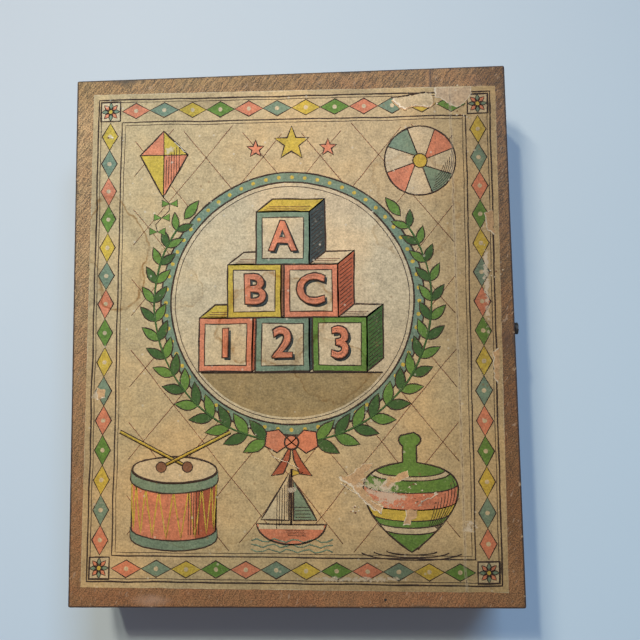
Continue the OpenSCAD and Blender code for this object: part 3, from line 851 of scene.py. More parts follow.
    def finish(self, name, body, place, material, waver=0.0):
        """The whole sheet as one object in metres."""
        self.draw_lines()
        for vert in self.sheet.verts:
            stray = noise.noise_vector(vert.co * 0.055) + 0.35 * noise.noise_vector(vert.co * 0.31)
            vert.co.x += stray.x * waver
            vert.co.y += stray.y * waver
        bmesh.ops.transform(self.sheet, matrix=Matrix.Scale(MM, 4) @ place, verts=self.sheet.verts)
        return new_piece(name, self.sheet, body, material)


def new_object(name, data):
    """An object of a mesh, lamp or camera, in the scene."""
    made = bpy.data.objects.new(name, data)
    bpy.context.scene.collection.objects.link(made)
    return made


def new_mesh_object(name, shape, material):
    """Makes a finished bmesh an object of one material."""
    mesh = bpy.data.meshes.new(name)
    shape.to_mesh(mesh)
    shape.free()
    mesh.materials.append(material)
    return new_object(name, mesh)


def new_piece(name, shape, body, material):
    """Makes a finished bmesh a piece that rides on a body."""
    piece = new_mesh_object(name, shape, material)
    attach(piece, body)
    return piece


# Printed motifs, all of them plain and traditional, drawn in units of their size


def draw_star(press, ink="yellow"):
    """A star of five points."""
    press.shape(star_outline(0, 0, 1, 0.42, 5), ink, 0)


def draw_kite(press):
    """A four-coloured kite with bows on its tail."""
    top, foot, left, right, middle = (0, 1), (0, -1.2), (-0.78, 0.2), (0.78, 0.2), (0, 0.2)
    for corners, ink in (((top, left, middle), "red"), ((top, middle, right), "yellow"),
                         ((left, foot, middle), "yellow"), ((middle, foot, right), "red")):
        press.fill(corners, ink, 0)
    press.line(press.even([top, left, foot, right]), 1, closed=True)
    press.line([left, middle, right], 1, 0.6)
    press.line([top, middle, foot], 1, 0.6)
    press.hatch((0.08, 0.05), (0.08, -0.85), (0.085, 0.10), 6, 2)
    tail = [(0.25 * math.sin(t * 1.1), -1.2 - 0.23 * t) for t in range(6)]
    press.line(tail, 0, 0.6)
    for x, y in tail[1::2]:
        for wing in (-0.26, 0.26):
            press.shape([(x, y), (x + wing, y + 0.14), (x + wing, y - 0.1)], "green", 1, 0.6)


def draw_ball(press):
    """A ball with curved coloured panels."""
    press.round_shape(0, 0, 1, "cream", 0, parts=40)
    for i, ink in enumerate(("red", "teal", "red", "teal")):
        start = 90 * i + 20
        outer = arc(0, 0, 1, start, start + 45, 8)
        inner = spoke(0, 0, 0.12, start)
        press.fill(outer + [inner], ink, 1)
        for end in (outer[0], outer[-1]):
            press.line([end, inner], 2, 0.7)
    press.round_shape(0, 0, 0.2, "yellow", 3, 0.7, 14)
    press.line(circle(0, 0, 1, 40), 3, closed=True)
    for i in range(6):
        press.line(arc(0, 0, 0.94 - 0.055 * i, 5 * i - 72, 18 - 6 * i, 10), 3, 0.4)


def draw_boat(press):
    """A toy boat with two sails on small waves."""
    hull = [(1, -0.42), *arc(0, -0.42, 0.98, -12, -168, 12, 0.58), (-1, -0.42)]
    press.shape(press.even(hull), "red", 0)
    press.fill(box_outline(-0.93, -0.56, 0.93, -0.44), "cream", 1)
    press.shape(press.even([(-0.06, -0.3), (-0.06, 1), (-0.85, -0.3)]), "cream", 0)
    press.shape(press.even([(0.06, -0.3), (0.72, -0.3), (0.06, 0.78)]), "teal", 0)
    press.line([(0, -0.42), (0, 1.1)], 1, 1.3)
    press.hatch((-0.12, -0.2), (-0.12, 0.75), (-0.07, -0.09), 5, 2)
    press.hatch((0.12, -0.22), (0.55, -0.22), (-0.01, 0.09), 4, 2)
    press.hatch((-0.1, -0.74), (0.42, -0.74), (-0.02, 0.055), 4, 2)
    press.shape([(0, 1.1), (0.34, 1.0), (0, 0.9)], "yellow", 0, 0.7)
    for row in range(3):
        wave = [(t / 6 - 1.15, 0.05 * math.sin(t * 1.9 + row) - 0.88 - 0.14 * row) for t in range(15)]
        press.line(wave, 1, 0.8, "teal")


def draw_drum(press):
    """A drum with laced cords and two sticks."""
    half, top, foot, squeeze, cords = 0.8, 0.42, -0.62, 0.3, 8
    shell = arc(0, foot, half, -180, 0, 12, squeeze) + arc(0, top, half, 0, 180, 12, squeeze)
    press.shape(shell, "red", 0)
    shade = arc(0, foot, half, -60, 0, 5, squeeze) + arc(0, top, half, 0, -60, 5, squeeze)
    press.fill(shade, "dark_red", 1)
    press.hatch((0.28, 0.05), (0.28, -0.72), (0.05, 0.004), 5, 2)
    for y in (top, foot):
        hoop = arc(0, y + 0.04, half * 1.03, -180, 0, 12, squeeze)
        press.shape(hoop + arc(0, y - 0.14, half * 1.03, 0, -180, 12, squeeze), "teal", 3, 0.8)
    for i in range(cords):
        knots = [spoke(0, y, half, (i + part) * 164 / cords - 172, squeeze)
                 for part, y in ((0, top - 0.12), (0.5, foot + 0.06), (1, top - 0.12))]
        press.line(press.even(knots, False), 2, 0.8, "yellow")
    press.round_shape(0, top + 0.05, half, "cream", 5, parts=32, squeeze=squeeze)
    for side in (-1, 1):
        head = (-0.25 * side, top + 0.1)
        stick = [(1.05 * side, top + 0.75), head]
        press.line(stick, 7 + side, 2.6)
        press.line(stick, 8 + side, 1.3, "yellow")
        press.round_shape(*head, 0.10, "brown", 10, 0.6, 12)


def top_width(height):
    """Half the width of a spinning top at a height from -1.05 to 1.15."""
    if height < 0.12:
        return 0.88 * math.sin(math.pi / 2 * ((height + 1.05) / 1.17) ** 0.92)
    if height < 0.58:
        return 0.13 + 0.75 * math.sqrt(max(0.0, 1 - ((height - 0.12) / 0.46) ** 2))
    if height < 0.92:
        return 0.13
    return 0.21 * math.sqrt(max(0.0, 1 - ((height - 1.02) / 0.14) ** 2))


def draw_top(press):
    """A banded spinning top."""
    right = [(top_width(h), h) for h in (-1.05 + i * 2.2 / 44 for i in range(45))]
    left = [(-x, y) for x, y in reversed(right[1:-1])]
    press.shape(right + left, "green", 0)
    for low, high, ink in ((-0.62, -0.48, "cream"), (-0.34, -0.12, "yellow"), (-0.12, 0.20, "red"),
                           (0.40, 0.46, "cream")):
        rails = [arc(0, height, top_width(height), 180, 360, 14, 0.20) for height in (low, high)]
        press.band(*rails, ink, 1, 0.7)
    for i in range(7):
        heights = [-0.62 + 0.03 * i + t * 0.09 for t in range(11 - i)]
        press.line([(top_width(h) * (0.93 - 0.07 * i), h - 0.02 * i) for h in heights], 3, 0.42)
    for i in range(3):
        press.line(arc(0, -1, 0.5 + 0.24 * i, 200, 340, 12, 0.20), 0, 0.7)


def draw_sun(press):
    """A plain sun with pointed rays."""
    press.shape(star_outline(0, 0, 1, 0.68, 14), "yellow", 0)
    press.round_shape(0, 0, 0.52, "red", 1, parts=24)


def draw_moon(press):
    """A crescent."""
    inner = arc(0.45, 0, 0.78, 283, 77, 12)
    press.shape(arc(0, 0, 1, 60, 300, 16) + inner[1:-1], "yellow", 0)


def draw_leaf(press):
    """A leaf with its rib."""
    parts = 10
    outline = leaf_outline(-1, -0.5, 2.2, 1.1, 28, parts)
    press.shape(outline, "green", 0)
    press.line([(-1.2, -0.6), outline[parts]], 1, 0.8)


def draw_fish(press):
    """A fish with a forked tail."""
    press.shape([(0.6, 0), (1.15, 0.5), (1, 0), (1.15, -0.5)], "red", 0)
    press.round_shape(-0.1, 0, 0.85, "teal", 1, parts=24, squeeze=0.5)
    press.disc(-0.6, 0.1, 0.09, "line", 2, 10)
    for i in range(3):
        press.line(arc(0.3 * i - 0.35, 0, 0.22, -70, 70, 5), 2, 0.6)


def draw_house(press):
    """A small house."""
    press.shape(box_outline(-0.7, -0.8, 0.7, 0.15), "cream", 0)
    press.shape([(-0.9, 0.15), (0.9, 0.15), (0, 0.95)], "red", 0)
    press.shape(box_outline(-0.18, -0.8, 0.18, -0.2), "brown", 1)
    for x in (-0.44, 0.44):
        press.shape(box_outline(x - 0.13, -0.4, x + 0.13, -0.1), "teal", 1, 0.7)


def draw_tree(press):
    """A round tree."""
    press.shape(box_outline(-0.12, -1, 0.12, 0), "brown", 0)
    press.shape(star_outline(0, 0.25, 0.8, 0.7, 9), "green", 1)


def draw_flower(press):
    """Five petals on a stalk."""
    press.line([(0, 0), (0.1, -1)], 0, 1.6, "dark_green")
    press.shape(leaf_outline(0.08, -0.8, 0.7, 0.3, 35), "green", 0)
    for i in range(5):
        press.round_shape(*spoke(0, 0.25, 0.36, 90 + 72 * i), 0.27, "red", 0, 0.7, 14)
    press.round_shape(0, 0.25, 0.24, "yellow", 2, 0.7, 14)


def draw_heart(press):
    """A heart."""
    lobes = arc(0.42, 0.3, 0.44, -35, 165, 9) + arc(-0.42, 0.3, 0.44, 15, 215, 9)
    press.shape(lobes + [(0, -0.95)], "red", 0)


MOTIFS = (draw_star, draw_ball, draw_boat, draw_sun, draw_moon, draw_leaf, draw_fish, draw_house, draw_tree,
          draw_flower, draw_heart, draw_kite, draw_drum, draw_top)


def draw_block(press, sign, front, side, top):
    """A toy block seen a little from above and from the right, with a sign on its front."""
    deep_x, deep_y, rim = 0.30, 0.24, 0.11
    far_x, far_y = 1 + deep_x, 1 + deep_y
    press.shape(press.even([(1, 0), (far_x, deep_y), (far_x, far_y), (1, 1)]), side, 0)
    press.shape(press.even([(0, 1), (1, 1), (far_x, far_y), (deep_x, far_y)]), top, 0)
    press.shape(press.even(box_outline(0, 0, 1, 1)), front, 0)
    press.shape(press.even(box_outline(rim, rim, 1 - rim, 1 - rim)), "cream", 1, 0.7)
    press.sign(sign, 0.5, 0.5, 0.56, "red", 2)
    press.hatch((1 + deep_x * 0.12, 0.10), (1 + deep_x * 0.88, 0.10 + deep_y * 0.76), (0, 0.075), 12, 1)
    press.hatch((0.15, 1 + deep_y * 0.14), (0.95, 1 + deep_y * 0.14), (deep_x * 0.14, deep_y * 0.14), 3, 1,
                "brown")


BOW_LOOP = ((0, 0), (6, 6), (12, 5), (13, -2), (7, -5))
BOW_TAIL = ((0, 0), (5, -9), (10, -16), (4, -15), (1, -8))


def draw_laurel(press, radius):
    """Two leafy sprays that climb round a circle from a bow at its foot."""
    for side in (-1, 1):
        press.line(arc(0, 0, radius, 4 * side - 90, 124 * side - 90, 30), 2, 1.2, "dark_green")
        sprigs = [(angle, 13.5 - 0.035 * angle) for angle in range(10, 126, 8)]
        for i, (angle, length) in enumerate(sprigs):
            stalk = spoke(0, 0, radius, angle * side - 90)
            heading = angle if side > 0 else 180 - angle
            for lean in (-38, 38):
                ink = "green" if (i + (lean > 0)) % 2 else "dark_green"
                press.shape(leaf_outline(*stalk, length, length * 0.42, heading + lean), ink, 0, 0.7)
        tip = 128
        heading = tip if side > 0 else 180 - tip
        press.shape(leaf_outline(*spoke(0, 0, radius, tip * side - 90), 12.0, 5.0, heading), "green", 0, 0.7)
    for side in (-1, 1):
        for outline, ink, level in ((BOW_LOOP, "red", 3), (BOW_TAIL, "dark_red", 2)):
            press.shape([(side * x, y - radius) for x, y in outline], ink, level)
    press.round_shape(0, -radius, 3.4, "red", 4, parts=16)


def draw_border(press, half_x, half_y):
    """Ruled lines, a band of lozenges and a rosette in each corner."""
    outer, inner = 3.0, 15.0
    middle = (outer + inner) / 2
    half_band = (inner - outer) / 2
    for inset, weight in ((outer, 0.9), (outer + 1.4, 0.42), (inner, 0.8), (inner + 1.6, 0.40)):
        press.line(press.even(frame_outline(half_x - inset, half_y - inset)), 2, weight, closed=True)
    inks = ("red", "teal", "yellow", "green")
    for half, across, count, upright in ((half_x, half_y, 12, False), (half_y, half_x, 15, True)):
        reach = half - inner
        for i in range(count):
            for side in (-1, 1):
                at = (reach * ((i + 0.5) * 2 / count - 1), side * (across - middle))
                size = (reach / count, half_band - 2.0)
                (x, y), (wide, tall) = (at[::-1], size[::-1]) if upright else (at, size)
                lozenge = [(x - wide, y), (x, y - tall), (x + wide, y), (x, y + tall)]
                press.shape(lozenge, inks[i % len(inks)], 0, 0.75)
                press.disc(x, y, 1.1, "cream", 2, 10)
    edge = half_band - 1.0
    for side_x in (-1, 1):
        for side_y in (-1, 1):
            x, y = side_x * (half_x - middle), side_y * (half_y - middle)
            press.shape(press.even(frame_outline(edge, edge, x, y)), "cream", 0)
            for petal in range(8):
                outline = leaf_outline(x, y, edge * 0.95, edge * 0.42, 45 * petal)
                press.shape(outline, "red" if petal % 2 else "teal", 1, 0.5)
            press.round_shape(x, y, 1.2, "yellow", 3, 0.6, 12)


# Torn places, scratches and crumbs, in millimetres from the label's middle
TEARS = (
    (((39, -63.5), (38, -66.4), (35.4, -67.8), (36, -70.7), (33.4, -71.2), (34.8, -73.6), (31.9, -75),
      (28, -73.6), (23.6, -71.7), (22.9, -69.8), (26.6, -70.3), (30, -67.9), (32, -65.5), (35.4, -63.5)),
     "bare"),
    (((27.5, -73), (33.4, -73.6), (39, -80.3), (44, -84), (43, -87), (38.6, -85), (33.3, -79.8)), "bare"),
    (((43, -74.5), (46, -70.2), (49, -70.2), (52, -67.8), (55.8, -66.8), (56.2, -69.2), (52.3, -71.6),
      (49, -72.6), (47.4, -75.4), (44, -76)), "bare"),
    (((54, -85), (60, -85), (59.3, -88.7), (56.4, -92), (53, -92), (54.5, -88.2)), "bare"),
    (((71.6, 122.4), (90.2, 122.4), (90.5, 118.6), (88, 115.7), (85, 112.8), (83, 111.5), (79.3, 113.3),
      (76.8, 115), (74.3, 117), (71.5, 117.4)), "torn_skin"),
    (((50.8, 117.1), (58, 118.2), (66.8, 119.7), (70.2, 118.5), (71, 115), (69.8, 112.2), (64, 113.3),
      (61, 113.4), (57.7, 111.5), (54.2, 112.9)), "cream"),
    (((-96, -27), (-92, -28.5), (-92.5, -32), (-96.5, -33)), "bare"),
    (((95, 58), (99, 60), (99.5, 47), (96.5, 49)), "bare"),
    (((97, -10), (100, -8), (100, -26), (98, -24)), "bare"),
)
SCRATCHES = (((23.6, -72.7), (28.5, -75.6), (33.3, -79.4), (38.6, -83.6), (43, -87)),
             ((38, -80.8), (41, -82.6), (44, -84)),
             ((60.4, -83.5), (62.8, -80.6), (66.2, -79.1), (69.6, -77.2)),
             ((-60, 97), (-54, 91)), ((-10, -60), (4, -66)))
CRUMBS = ((40.5, -75.5, 3.0), (62.0, -81.5, 4.0), (68.0, -78.0, 3.0), (30.0, -85.0, 4.0), (80.0, 116.0, 8.0),
          (58.0, -73.0, 4.0), (98.0, 30.0, 5.0), (86.0, 108.0, 5.0), (-90.0, 100.0, 4.0))
CRUMB_OUTLINE = ((-1, -0.4), (0.3, -0.8), (1, 0.2), (-0.2, 0.7))
LIFTED_EDGE = ((50.8, 117.3), (58, 118.6), (67, 120.2))
FRINGE = ((51, 116.2), (54, 112.7), (57.6, 111.2), (61, 113), (64, 113), (69.8, 111.8), (71.5, 114.5))


def draw_wear(press):
    """Torn and scratched places."""
    chance = random.Random(11)
    bite, layer = 0.85, 0.5
    for index, (outline, ink) in enumerate(TEARS):
        press.fill(ragged(outline, bite, index), "crumb", layer * index)
        middle = Vector((sum(x for x, _ in outline), sum(y for _, y in outline))) / len(outline)
        inner = [(x + 0.07 * (middle.x - x) + 0.3, y + 0.07 * (middle.y - y) + 0.25) for x, y in outline]
        press.fill(ragged(inner, bite, index), ink, layer * (index + 0.5))
    top = layer * len(TEARS)
    for points in SCRATCHES:
        press.line(ragged(points, 0.7, 3, 1.2, False), top, 0.34 / press.line_width, "crumb")
    for x, y, reach in CRUMBS:
        for index in range(9):
            at_x, at_y = x + chance.gauss(0.0, reach * 0.5), y + chance.gauss(0.0, reach * 0.4)
            crumb = press.at(at_x, at_y, chance.uniform(0.25, 0.65), press.base + top + 0.5)
            crumb.fill(CRUMB_OUTLINE, "crumb" if index % 3 else "brown", 0.06 * index)
    # The paper's lifted edge: a shadow above it and orange fibres below
    press.line(ragged(LIFTED_EDGE, 0.3, 4, 1.5, False), top + 1.2, 0.55 / press.line_width)
    press.line(ragged(FRINGE, 0.6, 5, 1.0, False), top + 1.2, 0.7 / press.line_width, "bare")


# Rows of toy blocks from the foot up: signs, where the first stands and its level.
# Each block lies over its left neighbour and over the tops of those below.
BLOCK_ROWS = (("123", -1.5, 5), ("BC", -1.0, 9), ("A", -0.5, 13.2))
BLOCK_COLOURS = (("red", "dark_red", "yellow"), ("teal", "slate", "pale_teal"),
                 ("green", "dark_green", "cream"), ("yellow", "brown", "cream"),
                 ("red", "dark_red", "cream"), ("teal", "slate", "yellow"))


def draw_medallion(press, radius):
    """Toy blocks on a table, in a ring of dots and a laurel."""
    press.round_shape(0, 0, radius + 5.0, "teal", 3, parts=96)
    for angle in range(0, 360, 6):
        press.disc(*spoke(0, 0, radius + 2.5, angle), 1.0, "yellow", 4, 8)
    press.round_shape(0, 0, radius, "cream", 4, parts=96)
    press.line(circle(0, 0, radius - 2.2, 90), 5, 0.45, closed=True)
    table = arc(0, 0, radius - 3.4, -142, -38, 20)
    press.fill(table, "ground", 5)
    press.line([table[0], table[-1]], 6)
    middle_x, middle_y = press.middle
    foot_y = middle_y + table[0][1] + 0.5
    edge = 26.5
    colours = iter(BLOCK_COLOURS)
    for row, (signs, start, level) in enumerate(BLOCK_ROWS):
        for column, sign in enumerate(signs):
            x = middle_x - 3.6 + (start + column) * (edge + 1.6)
            draw_block(press.at(x, foot_y + row * edge, edge, level + 2 * column), sign, *next(colours))
    draw_laurel(press.at(middle_x, middle_y, 1.0, 5), radius + 8.5)


def draw_label(press, half_x, half_y):
    """The lid's print: a medallion of toy blocks in a laurel, four toys and a lozenge border."""
    bare_rim, lattice_rim = 0.3, 17.5
    press.fill(spread(frame_outline(half_x - bare_rim, half_y - bare_rim)), "tan", 1)
    # A lattice of thin lines behind everything
    pitch, steepness = 29.0, 1.22
    for slope in (-1, 1):
        for step in range(-9, 10):
            line = [(x, (slope * x + step * pitch) * steepness) for x in range(-200, 201, 5)]
            points = [(x, y) for x, y in line
                      if abs(x) <= half_x - lattice_rim and abs(y) <= half_y - lattice_rim]
            if len(points) > 1:
                press.line(points, 2, 0.5, "brown")
    draw_border(press.at(0.0, 0.0, 1.0, 2), half_x, half_y)
    draw_medallion(press.at(0.0, 15.0, 1.0, 0), 60.0)
    toy_level = 6
    draw_kite(press.at(-65.0, 87.0, 15.5, toy_level))
    draw_ball(press.at(64.0, 85.0, 17.5, toy_level))
    draw_star(press.at(0.0, 95.0, 9.0, toy_level))
    for x in (-18.5, 18.5):
        draw_star(press.at(x, 92.5, 4.6, toy_level), "red")
    draw_drum(press.at(-57.0, -79.0, 26.0, toy_level))
    draw_top(press.at(57.0, -78.0, 25.5, toy_level))
    draw_boat(press.at(0.0, -85.0, 17.0, toy_level))
    draw_wear(press.at(0.0, 0.0, 1.0, 15))


# Pieces of the object


def label_size():
    """Width and length of the turned label, worked out from its box."""
    wide, long = (LABEL_HIGH.x - LABEL_LOW.x) / MM, (LABEL_HIGH.y - LABEL_LOW.y) / MM
    cos, sin = math.cos(LABEL_TURN), abs(math.sin(LABEL_TURN))
    square = cos * cos - sin * sin
    return (wide * cos - long * sin) / square, (long * cos - wide * sin) / square


def label_place(height):
    """From the label's own millimetres to the lid."""
    middle = (LABEL_LOW + LABEL_HIGH) / (2 * MM)
    return Matrix.Translation((middle.x, middle.y, height)) @ Matrix.Rotation(LABEL_TURN, 4, "Z")


def make_brad_putty(material):
    """Wood putty in the punched holes over the lid's brads; one at the front has lost its plug."""
    radius, depth, sunk, inset, lost = 0.66, 0.36, 0.02, 4.0, (43.6, -127.5)
    shape = bmesh.new()
    places = [(share * BOX_HALF_X, side * (BOX_HALF_Y - inset)) for share in (-0.8, -0.4, 0.0, 0.4, 0.8)
              for side in (-1, 1)]
    places += [(side * (BOX_HALF_X - inset), share * BOX_HALF_Y)
               for share in (-0.85, -0.5, -0.17, 0.17, 0.5, 0.85) for side in (-1, 1)]
    for x, y in places:
        if math.hypot(x - lost[0], y - lost[1]) > 1.0:
            middle = Matrix.Translation((x, y, BOARD_TOP - sunk - depth / 2))
            bmesh.ops.create_cone(shape, cap_ends=True, segments=20, radius1=radius, radius2=radius * 0.97,
                                  depth=depth, matrix=middle)
    bmesh.ops.transform(shape, matrix=Matrix.Scale(MM, 4), verts=shape.verts)
    new_piece("brad_putty", shape, "lid", material)


def make_label_paper(tools, material):
    """The pasted paper, its edges ragged."""
    wide, long = label_size()
    pitch = 2.0
    shape = bmesh.new()
    bmesh.ops.create_grid(shape, x_segments=round(wide / pitch), y_segments=round(long / pitch), size=0.5)
    bmesh.ops.scale(shape, vec=(wide, long, 1.0), verts=shape.verts)
    for vert in shape.verts:
        if vert.is_boundary:
            deep = max(0.0, noise.noise(vert.co * 0.07) - 0.35)
            bite = 0.35 * abs(noise.noise(vert.co * 0.35)) + 0.9 * deep
            if abs(vert.co.x) > wide / 2 - 0.1:
                vert.co.x -= math.copysign(bite, vert.co.x)
            if abs(vert.co.y) > long / 2 - 0.1:
                vert.co.y -= math.copysign(bite, vert.co.y)
    make_slab(shape, tools.paper_thick / MM)
    bmesh.ops.recalc_face_normals(shape, faces=shape.faces)
    bmesh.ops.transform(shape, matrix=Matrix.Scale(MM, 4) @ label_place(BOARD_TOP), verts=shape.verts)
    piece = new_piece("label_paper", shape, "lid", material)
    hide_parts("lid_label")


def make_label_print(tools, inks, material):
    """The print on the lid's paper."""
    wide, long = label_size()
    press = Press(inks, tools.ink_step / MM, tools.line_width / MM)
    draw_label(press, wide / 2, long / 2)
    sunk = 0.002
    place = label_place(BOARD_TOP + tools.paper_thick / MM - sunk)
    press.finish("label_print", "lid", place, material, tools.waver / MM)


def face_places(node):
    """Where the papers of a cube lie: its top and its four sides."""
    low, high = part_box(node)
    middle = Matrix.Translation((low + high) / (2 * MM))
    out = Matrix.Translation((0.0, 0.0, (high.z - low.z) / (2 * MM)))
    upright = Matrix.Rotation(math.pi / 2, 4, "X")
    return [middle @ out] + [middle @ Matrix.Rotation(quarter * math.pi / 2, 4, "Z") @ upright @ out
                             for quarter in range(4)]


def make_cube_papers(inks, material, index):
    """Papers pasted on one cube: its letter on top, pictures and numbers on its sides."""
    ink_step, line_width, bare_rim = 0.012, 0.55, 0.9
    letter_height, number_height, motif_size = 22.0, 20.0, 9.5
    colours = ("red", "teal", "green", "yellow")
    paper_level = 5
    node = "cube_" + LETTERS[index]
    low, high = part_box(node)
    half = (high.z - low.z) / (2 * MM) - bare_rim
    press = Press(inks, ink_step, line_width)
    for side, place in enumerate(face_places(node)):
        press.move_to(place)
        ink, next_ink = [colours[(index + side + step) % len(colours)] for step in (0, 1)]
        press.fill(spread(frame_outline(half, half), pitch=12), "cream", paper_level)
        for inset, weight, above, colour in ((0.9, 1.6, 2, "line"), (3.4, 0.8, 2, "line"),
                                             (2.15, 2.0 / line_width, 1, ink)):
            outline = frame_outline(half - inset, half - inset)
            press.line(outline, paper_level + above, weight, colour, closed=True)
        if side == 0:
            press.sign(LETTERS[index].upper(), 0.0, 0.0, letter_height, ink, paper_level + 1)
        elif side % 2:
            MOTIFS[(index * 3 + side) % len(MOTIFS)](press.at(0.0, 0.0, motif_size, paper_level + 1))
        else:
            press.sign(str((index + side) % 10), 0.0, 0.0, number_height, next_ink, paper_level + 1)
    press.finish(node + "_papers", "box", Matrix(), material)


# Stage

# Turn in degrees, and the way from the lid's middle in millimetres in the camera's own directions
CAMERA_TURN = (4.917, 2.700, -1.093)
CAMERA_OFFSET = (14.62, 5.53, 313.83)

# Places of the lamps and sizes of a ball or a panel, in metres
WARM_LAMP = ((-0.371, 0.673, 1.260), (0.034,))
LOW_LAMP = ((-0.159, 0.290, 0.598), (0.03, 0.215))
COOL_LAMP = ((0.617, 1.363, 1.790), (1.04, 0.63))

TABLE_RADIUS = 6.0


def make_lamp(name, share, place, size, flat=False):
    """A ball, or a panel turned to the lid or down, that gives the lid's middle its share of the light."""
    reach = Vector(place) - Vector((0.0, 0.0, CAD_BOX[1][2]))
    slant = reach.z / reach.length
    strongest = max(share)
    ball = len(size) == 1
    lamp = bpy.data.lights.new(name, "POINT" if ball else "AREA")
    lamp.color = [part / strongest for part in share]
    lamp.energy = math.pi ** 2 * strongest * reach.length_squared / slant
    if ball:
        lamp.shadow_soft_size = size[0]
        # It shines all round, so it takes four times the power of a panel
        lamp.energy *= 4
    else:
        lamp.shape = "RECTANGLE"
        lamp.size, lamp.size_y = size
    carrier = new_object(name, lamp)
    carrier.location = place
    carrier.visible_camera = False
    if flat:
        lamp.energy /= slant
    else:
        carrier.rotation_euler = reach.to_track_quat("Z", "Y").to_euler()


def make_world(light):
    """Even light from all round, and a pale background for the camera and for gloss."""
    world = bpy.data.worlds.new("sky")
    world.use_nodes = True
    bpy.context.scene.world = world
    graph = Graph(world.node_tree)
    sky = graph.found("Background")
    sky.socket.node.inputs["Color"].default_value = (*light.sky_share, 1.0)
    seen = graph.add("ShaderNodeBackground", {"Color": (*light.background, 1.0)})
    rays = [graph.add("ShaderNodeLightPath", out=kind)
            for kind in ("Is Camera Ray", "Is Glossy Ray", "Is Transmission Ray")]
    choice = graph.add("ShaderNodeMixShader", {0: reduce(Flow.most, rays), 1: sky, 2: seen})
    graph.shown("World Output", choice)


def make_floor(material):
    """A wide table."""
    shape = bmesh.new()
    bmesh.ops.create_circle(shape, cap_ends=True, radius=TABLE_RADIUS, segments=96)
    new_mesh_object("table", shape, material)


def make_camera():
    """The photograph's view, almost straight down, fitted to the lid's four corners."""
    camera = bpy.data.cameras.new("camera")
    camera.sensor_width = 36.0
    camera.lens = 36.0
    camera.clip_start = 0.01
    carrier = new_object("camera", camera)
    carrier.rotation_mode = "ZYX"
    carrier.rotation_euler = [math.radians(angle) for angle in CAMERA_TURN]
    lid_middle = Vector((0.0, 0.0, CAD_BOX[1][2]))
    carrier.location = lid_middle + carrier.rotation_euler.to_matrix() @ (Vector(CAMERA_OFFSET) * MM)
    bpy.context.scene.camera = carrier


# Operators


class CUBEBOX_OT_stage(bpy.types.Operator):
    """Table, lamps, sky and camera"""
    bl_idname = "cube_box.stage"
    bl_label = "Stage"
    bl_options = {"REGISTER", "UNDO"}

    def execute(self, context):
        light = context.scene.cube_box_light
        make_camera()
        make_floor(floor_finish(context.scene.cube_box_finish, light))
        make_world(light)
        make_lamp("warm_lamp", light.warm_share, *WARM_LAMP)
        make_lamp("low_lamp", light.low_share, *LOW_LAMP)
        make_lamp("cool_lamp", light.cool_share, *COOL_LAMP, flat=True)
        context.scene.view_settings.view_transform = "Standard"
        return {"FINISHED"}


class CUBEBOX_OT_boards(bpy.types.Operator):
    """Old wood on the boards of the box and its lid"""
    bl_idname = "cube_box.boards"
    bl_label = "Boards"
    bl_options = {"REGISTER", "UNDO"}

    def execute(self, context):
        tools = context.scene.cube_box_finish
        lid = wood_finish("lid_wood", tools, "y", lid=True)
        dress(lid, LID_WOOD)
        make_brad_putty(lid)
        dress(wood_finish("cross_wood", tools, "x"), CROSS_WOOD)
        dress(wood_finish("long_wood", tools, "y"), LONG_WOOD)
        return {"FINISHED"}


class CUBEBOX_OT_fittings(bpy.types.Operator):
    """Brass hinges, iron hook, screws and brads"""
    bl_idname = "cube_box.fittings"
    bl_label = "Fittings"
    bl_options = {"REGISTER", "UNDO"}

    def execute(self, context):
        tools = context.scene.cube_box_finish
        dress(brass_finish(tools), BRASS_NODES)
        dress(iron_finish("black_iron", tools, tools.iron, 0.02), IRON_NODES)
        dress(iron_finish("dull_steel", tools, tools.steel, 0.0), SCREW_NODES)
        dress(iron_finish("nail_steel", tools, tools.iron, 0.08), NAIL_NODES)
        return {"FINISHED"}


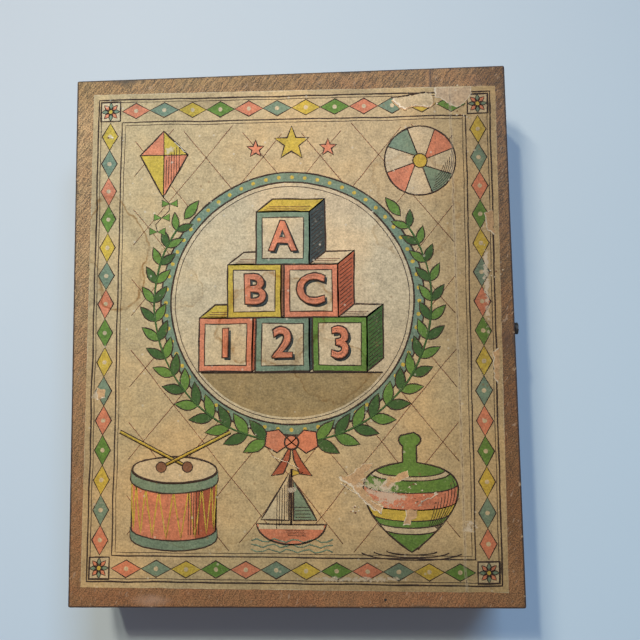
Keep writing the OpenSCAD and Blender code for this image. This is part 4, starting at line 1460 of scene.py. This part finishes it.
class CUBEBOX_OT_label(bpy.types.Operator):
    """The paper pasted on the lid, and its print"""
    bl_idname = "cube_box.label"
    bl_label = "Label"
    bl_options = {"REGISTER", "UNDO"}

    def execute(self, context):
        tools = context.scene.cube_box_finish
        make_label_paper(tools, paper_finish("label_paper", tools, printed=False, lid=True))
        make_label_print(tools, context.scene.cube_box_inks, paper_finish("label_print", tools, True, True))
        return {"FINISHED"}


class CUBEBOX_OT_cubes(bpy.types.Operator):
    """Beech on the cubes, and papers with letters, numbers and pictures"""
    bl_idname = "cube_box.cubes"
    bl_label = "Cubes"
    bl_options = {"REGISTER", "UNDO"}

    def execute(self, context):
        tools = context.scene.cube_box_finish
        dress(cube_wood_finish(tools), ["cube_" + letter for letter in LETTERS])
        printed = paper_finish("cube_print", tools, printed=True, lid=False)
        for index in range(len(LETTERS)):
            make_cube_papers(context.scene.cube_box_inks, printed, index)
        return {"FINISHED"}


class CUBEBOX_PT_panel(bpy.types.Panel):
    """Lists the pieces"""
    bl_label = "Cube Box"
    bl_idname = "CUBEBOX_PT_panel"
    bl_space_type = "VIEW_3D"
    bl_region_type = "UI"
    bl_category = "Cube Box"

    def draw(self, context):
        for operator in OPERATORS:
            self.layout.operator(operator.bl_idname)
        for settings in SETTINGS:
            group = getattr(context.scene, settings)
            column = self.layout.column()
            for name in group.__annotations__:
                column.prop(group, name)


SETTINGS = {"cube_box_finish": CubeBoxFinish, "cube_box_inks": CubeBoxInks, "cube_box_light": CubeBoxLight}
OPERATORS = (CUBEBOX_OT_stage, CUBEBOX_OT_boards, CUBEBOX_OT_fittings, CUBEBOX_OT_label, CUBEBOX_OT_cubes)
CLASSES = (*SETTINGS.values(), *OPERATORS, CUBEBOX_PT_panel)


def register():
    """Adds the classes and the scene's settings."""
    for cls in CLASSES:
        bpy.utils.register_class(cls)
    for name, group in SETTINGS.items():
        setattr(bpy.types.Scene, name, PointerProperty(type=group))


def unregister():
    """Takes them away again."""
    for name in SETTINGS:
        delattr(bpy.types.Scene, name)
    for cls in reversed(CLASSES):
        bpy.utils.unregister_class(cls)


def main():
    """Builds everything in order."""
    register()
    bpy.ops.cube_box.stage()
    bpy.ops.cube_box.boards()
    bpy.ops.cube_box.fittings()
    bpy.ops.cube_box.label()
    bpy.ops.cube_box.cubes()
    bpy.context.view_layer.update()


if __name__ == "__main__":
    main()
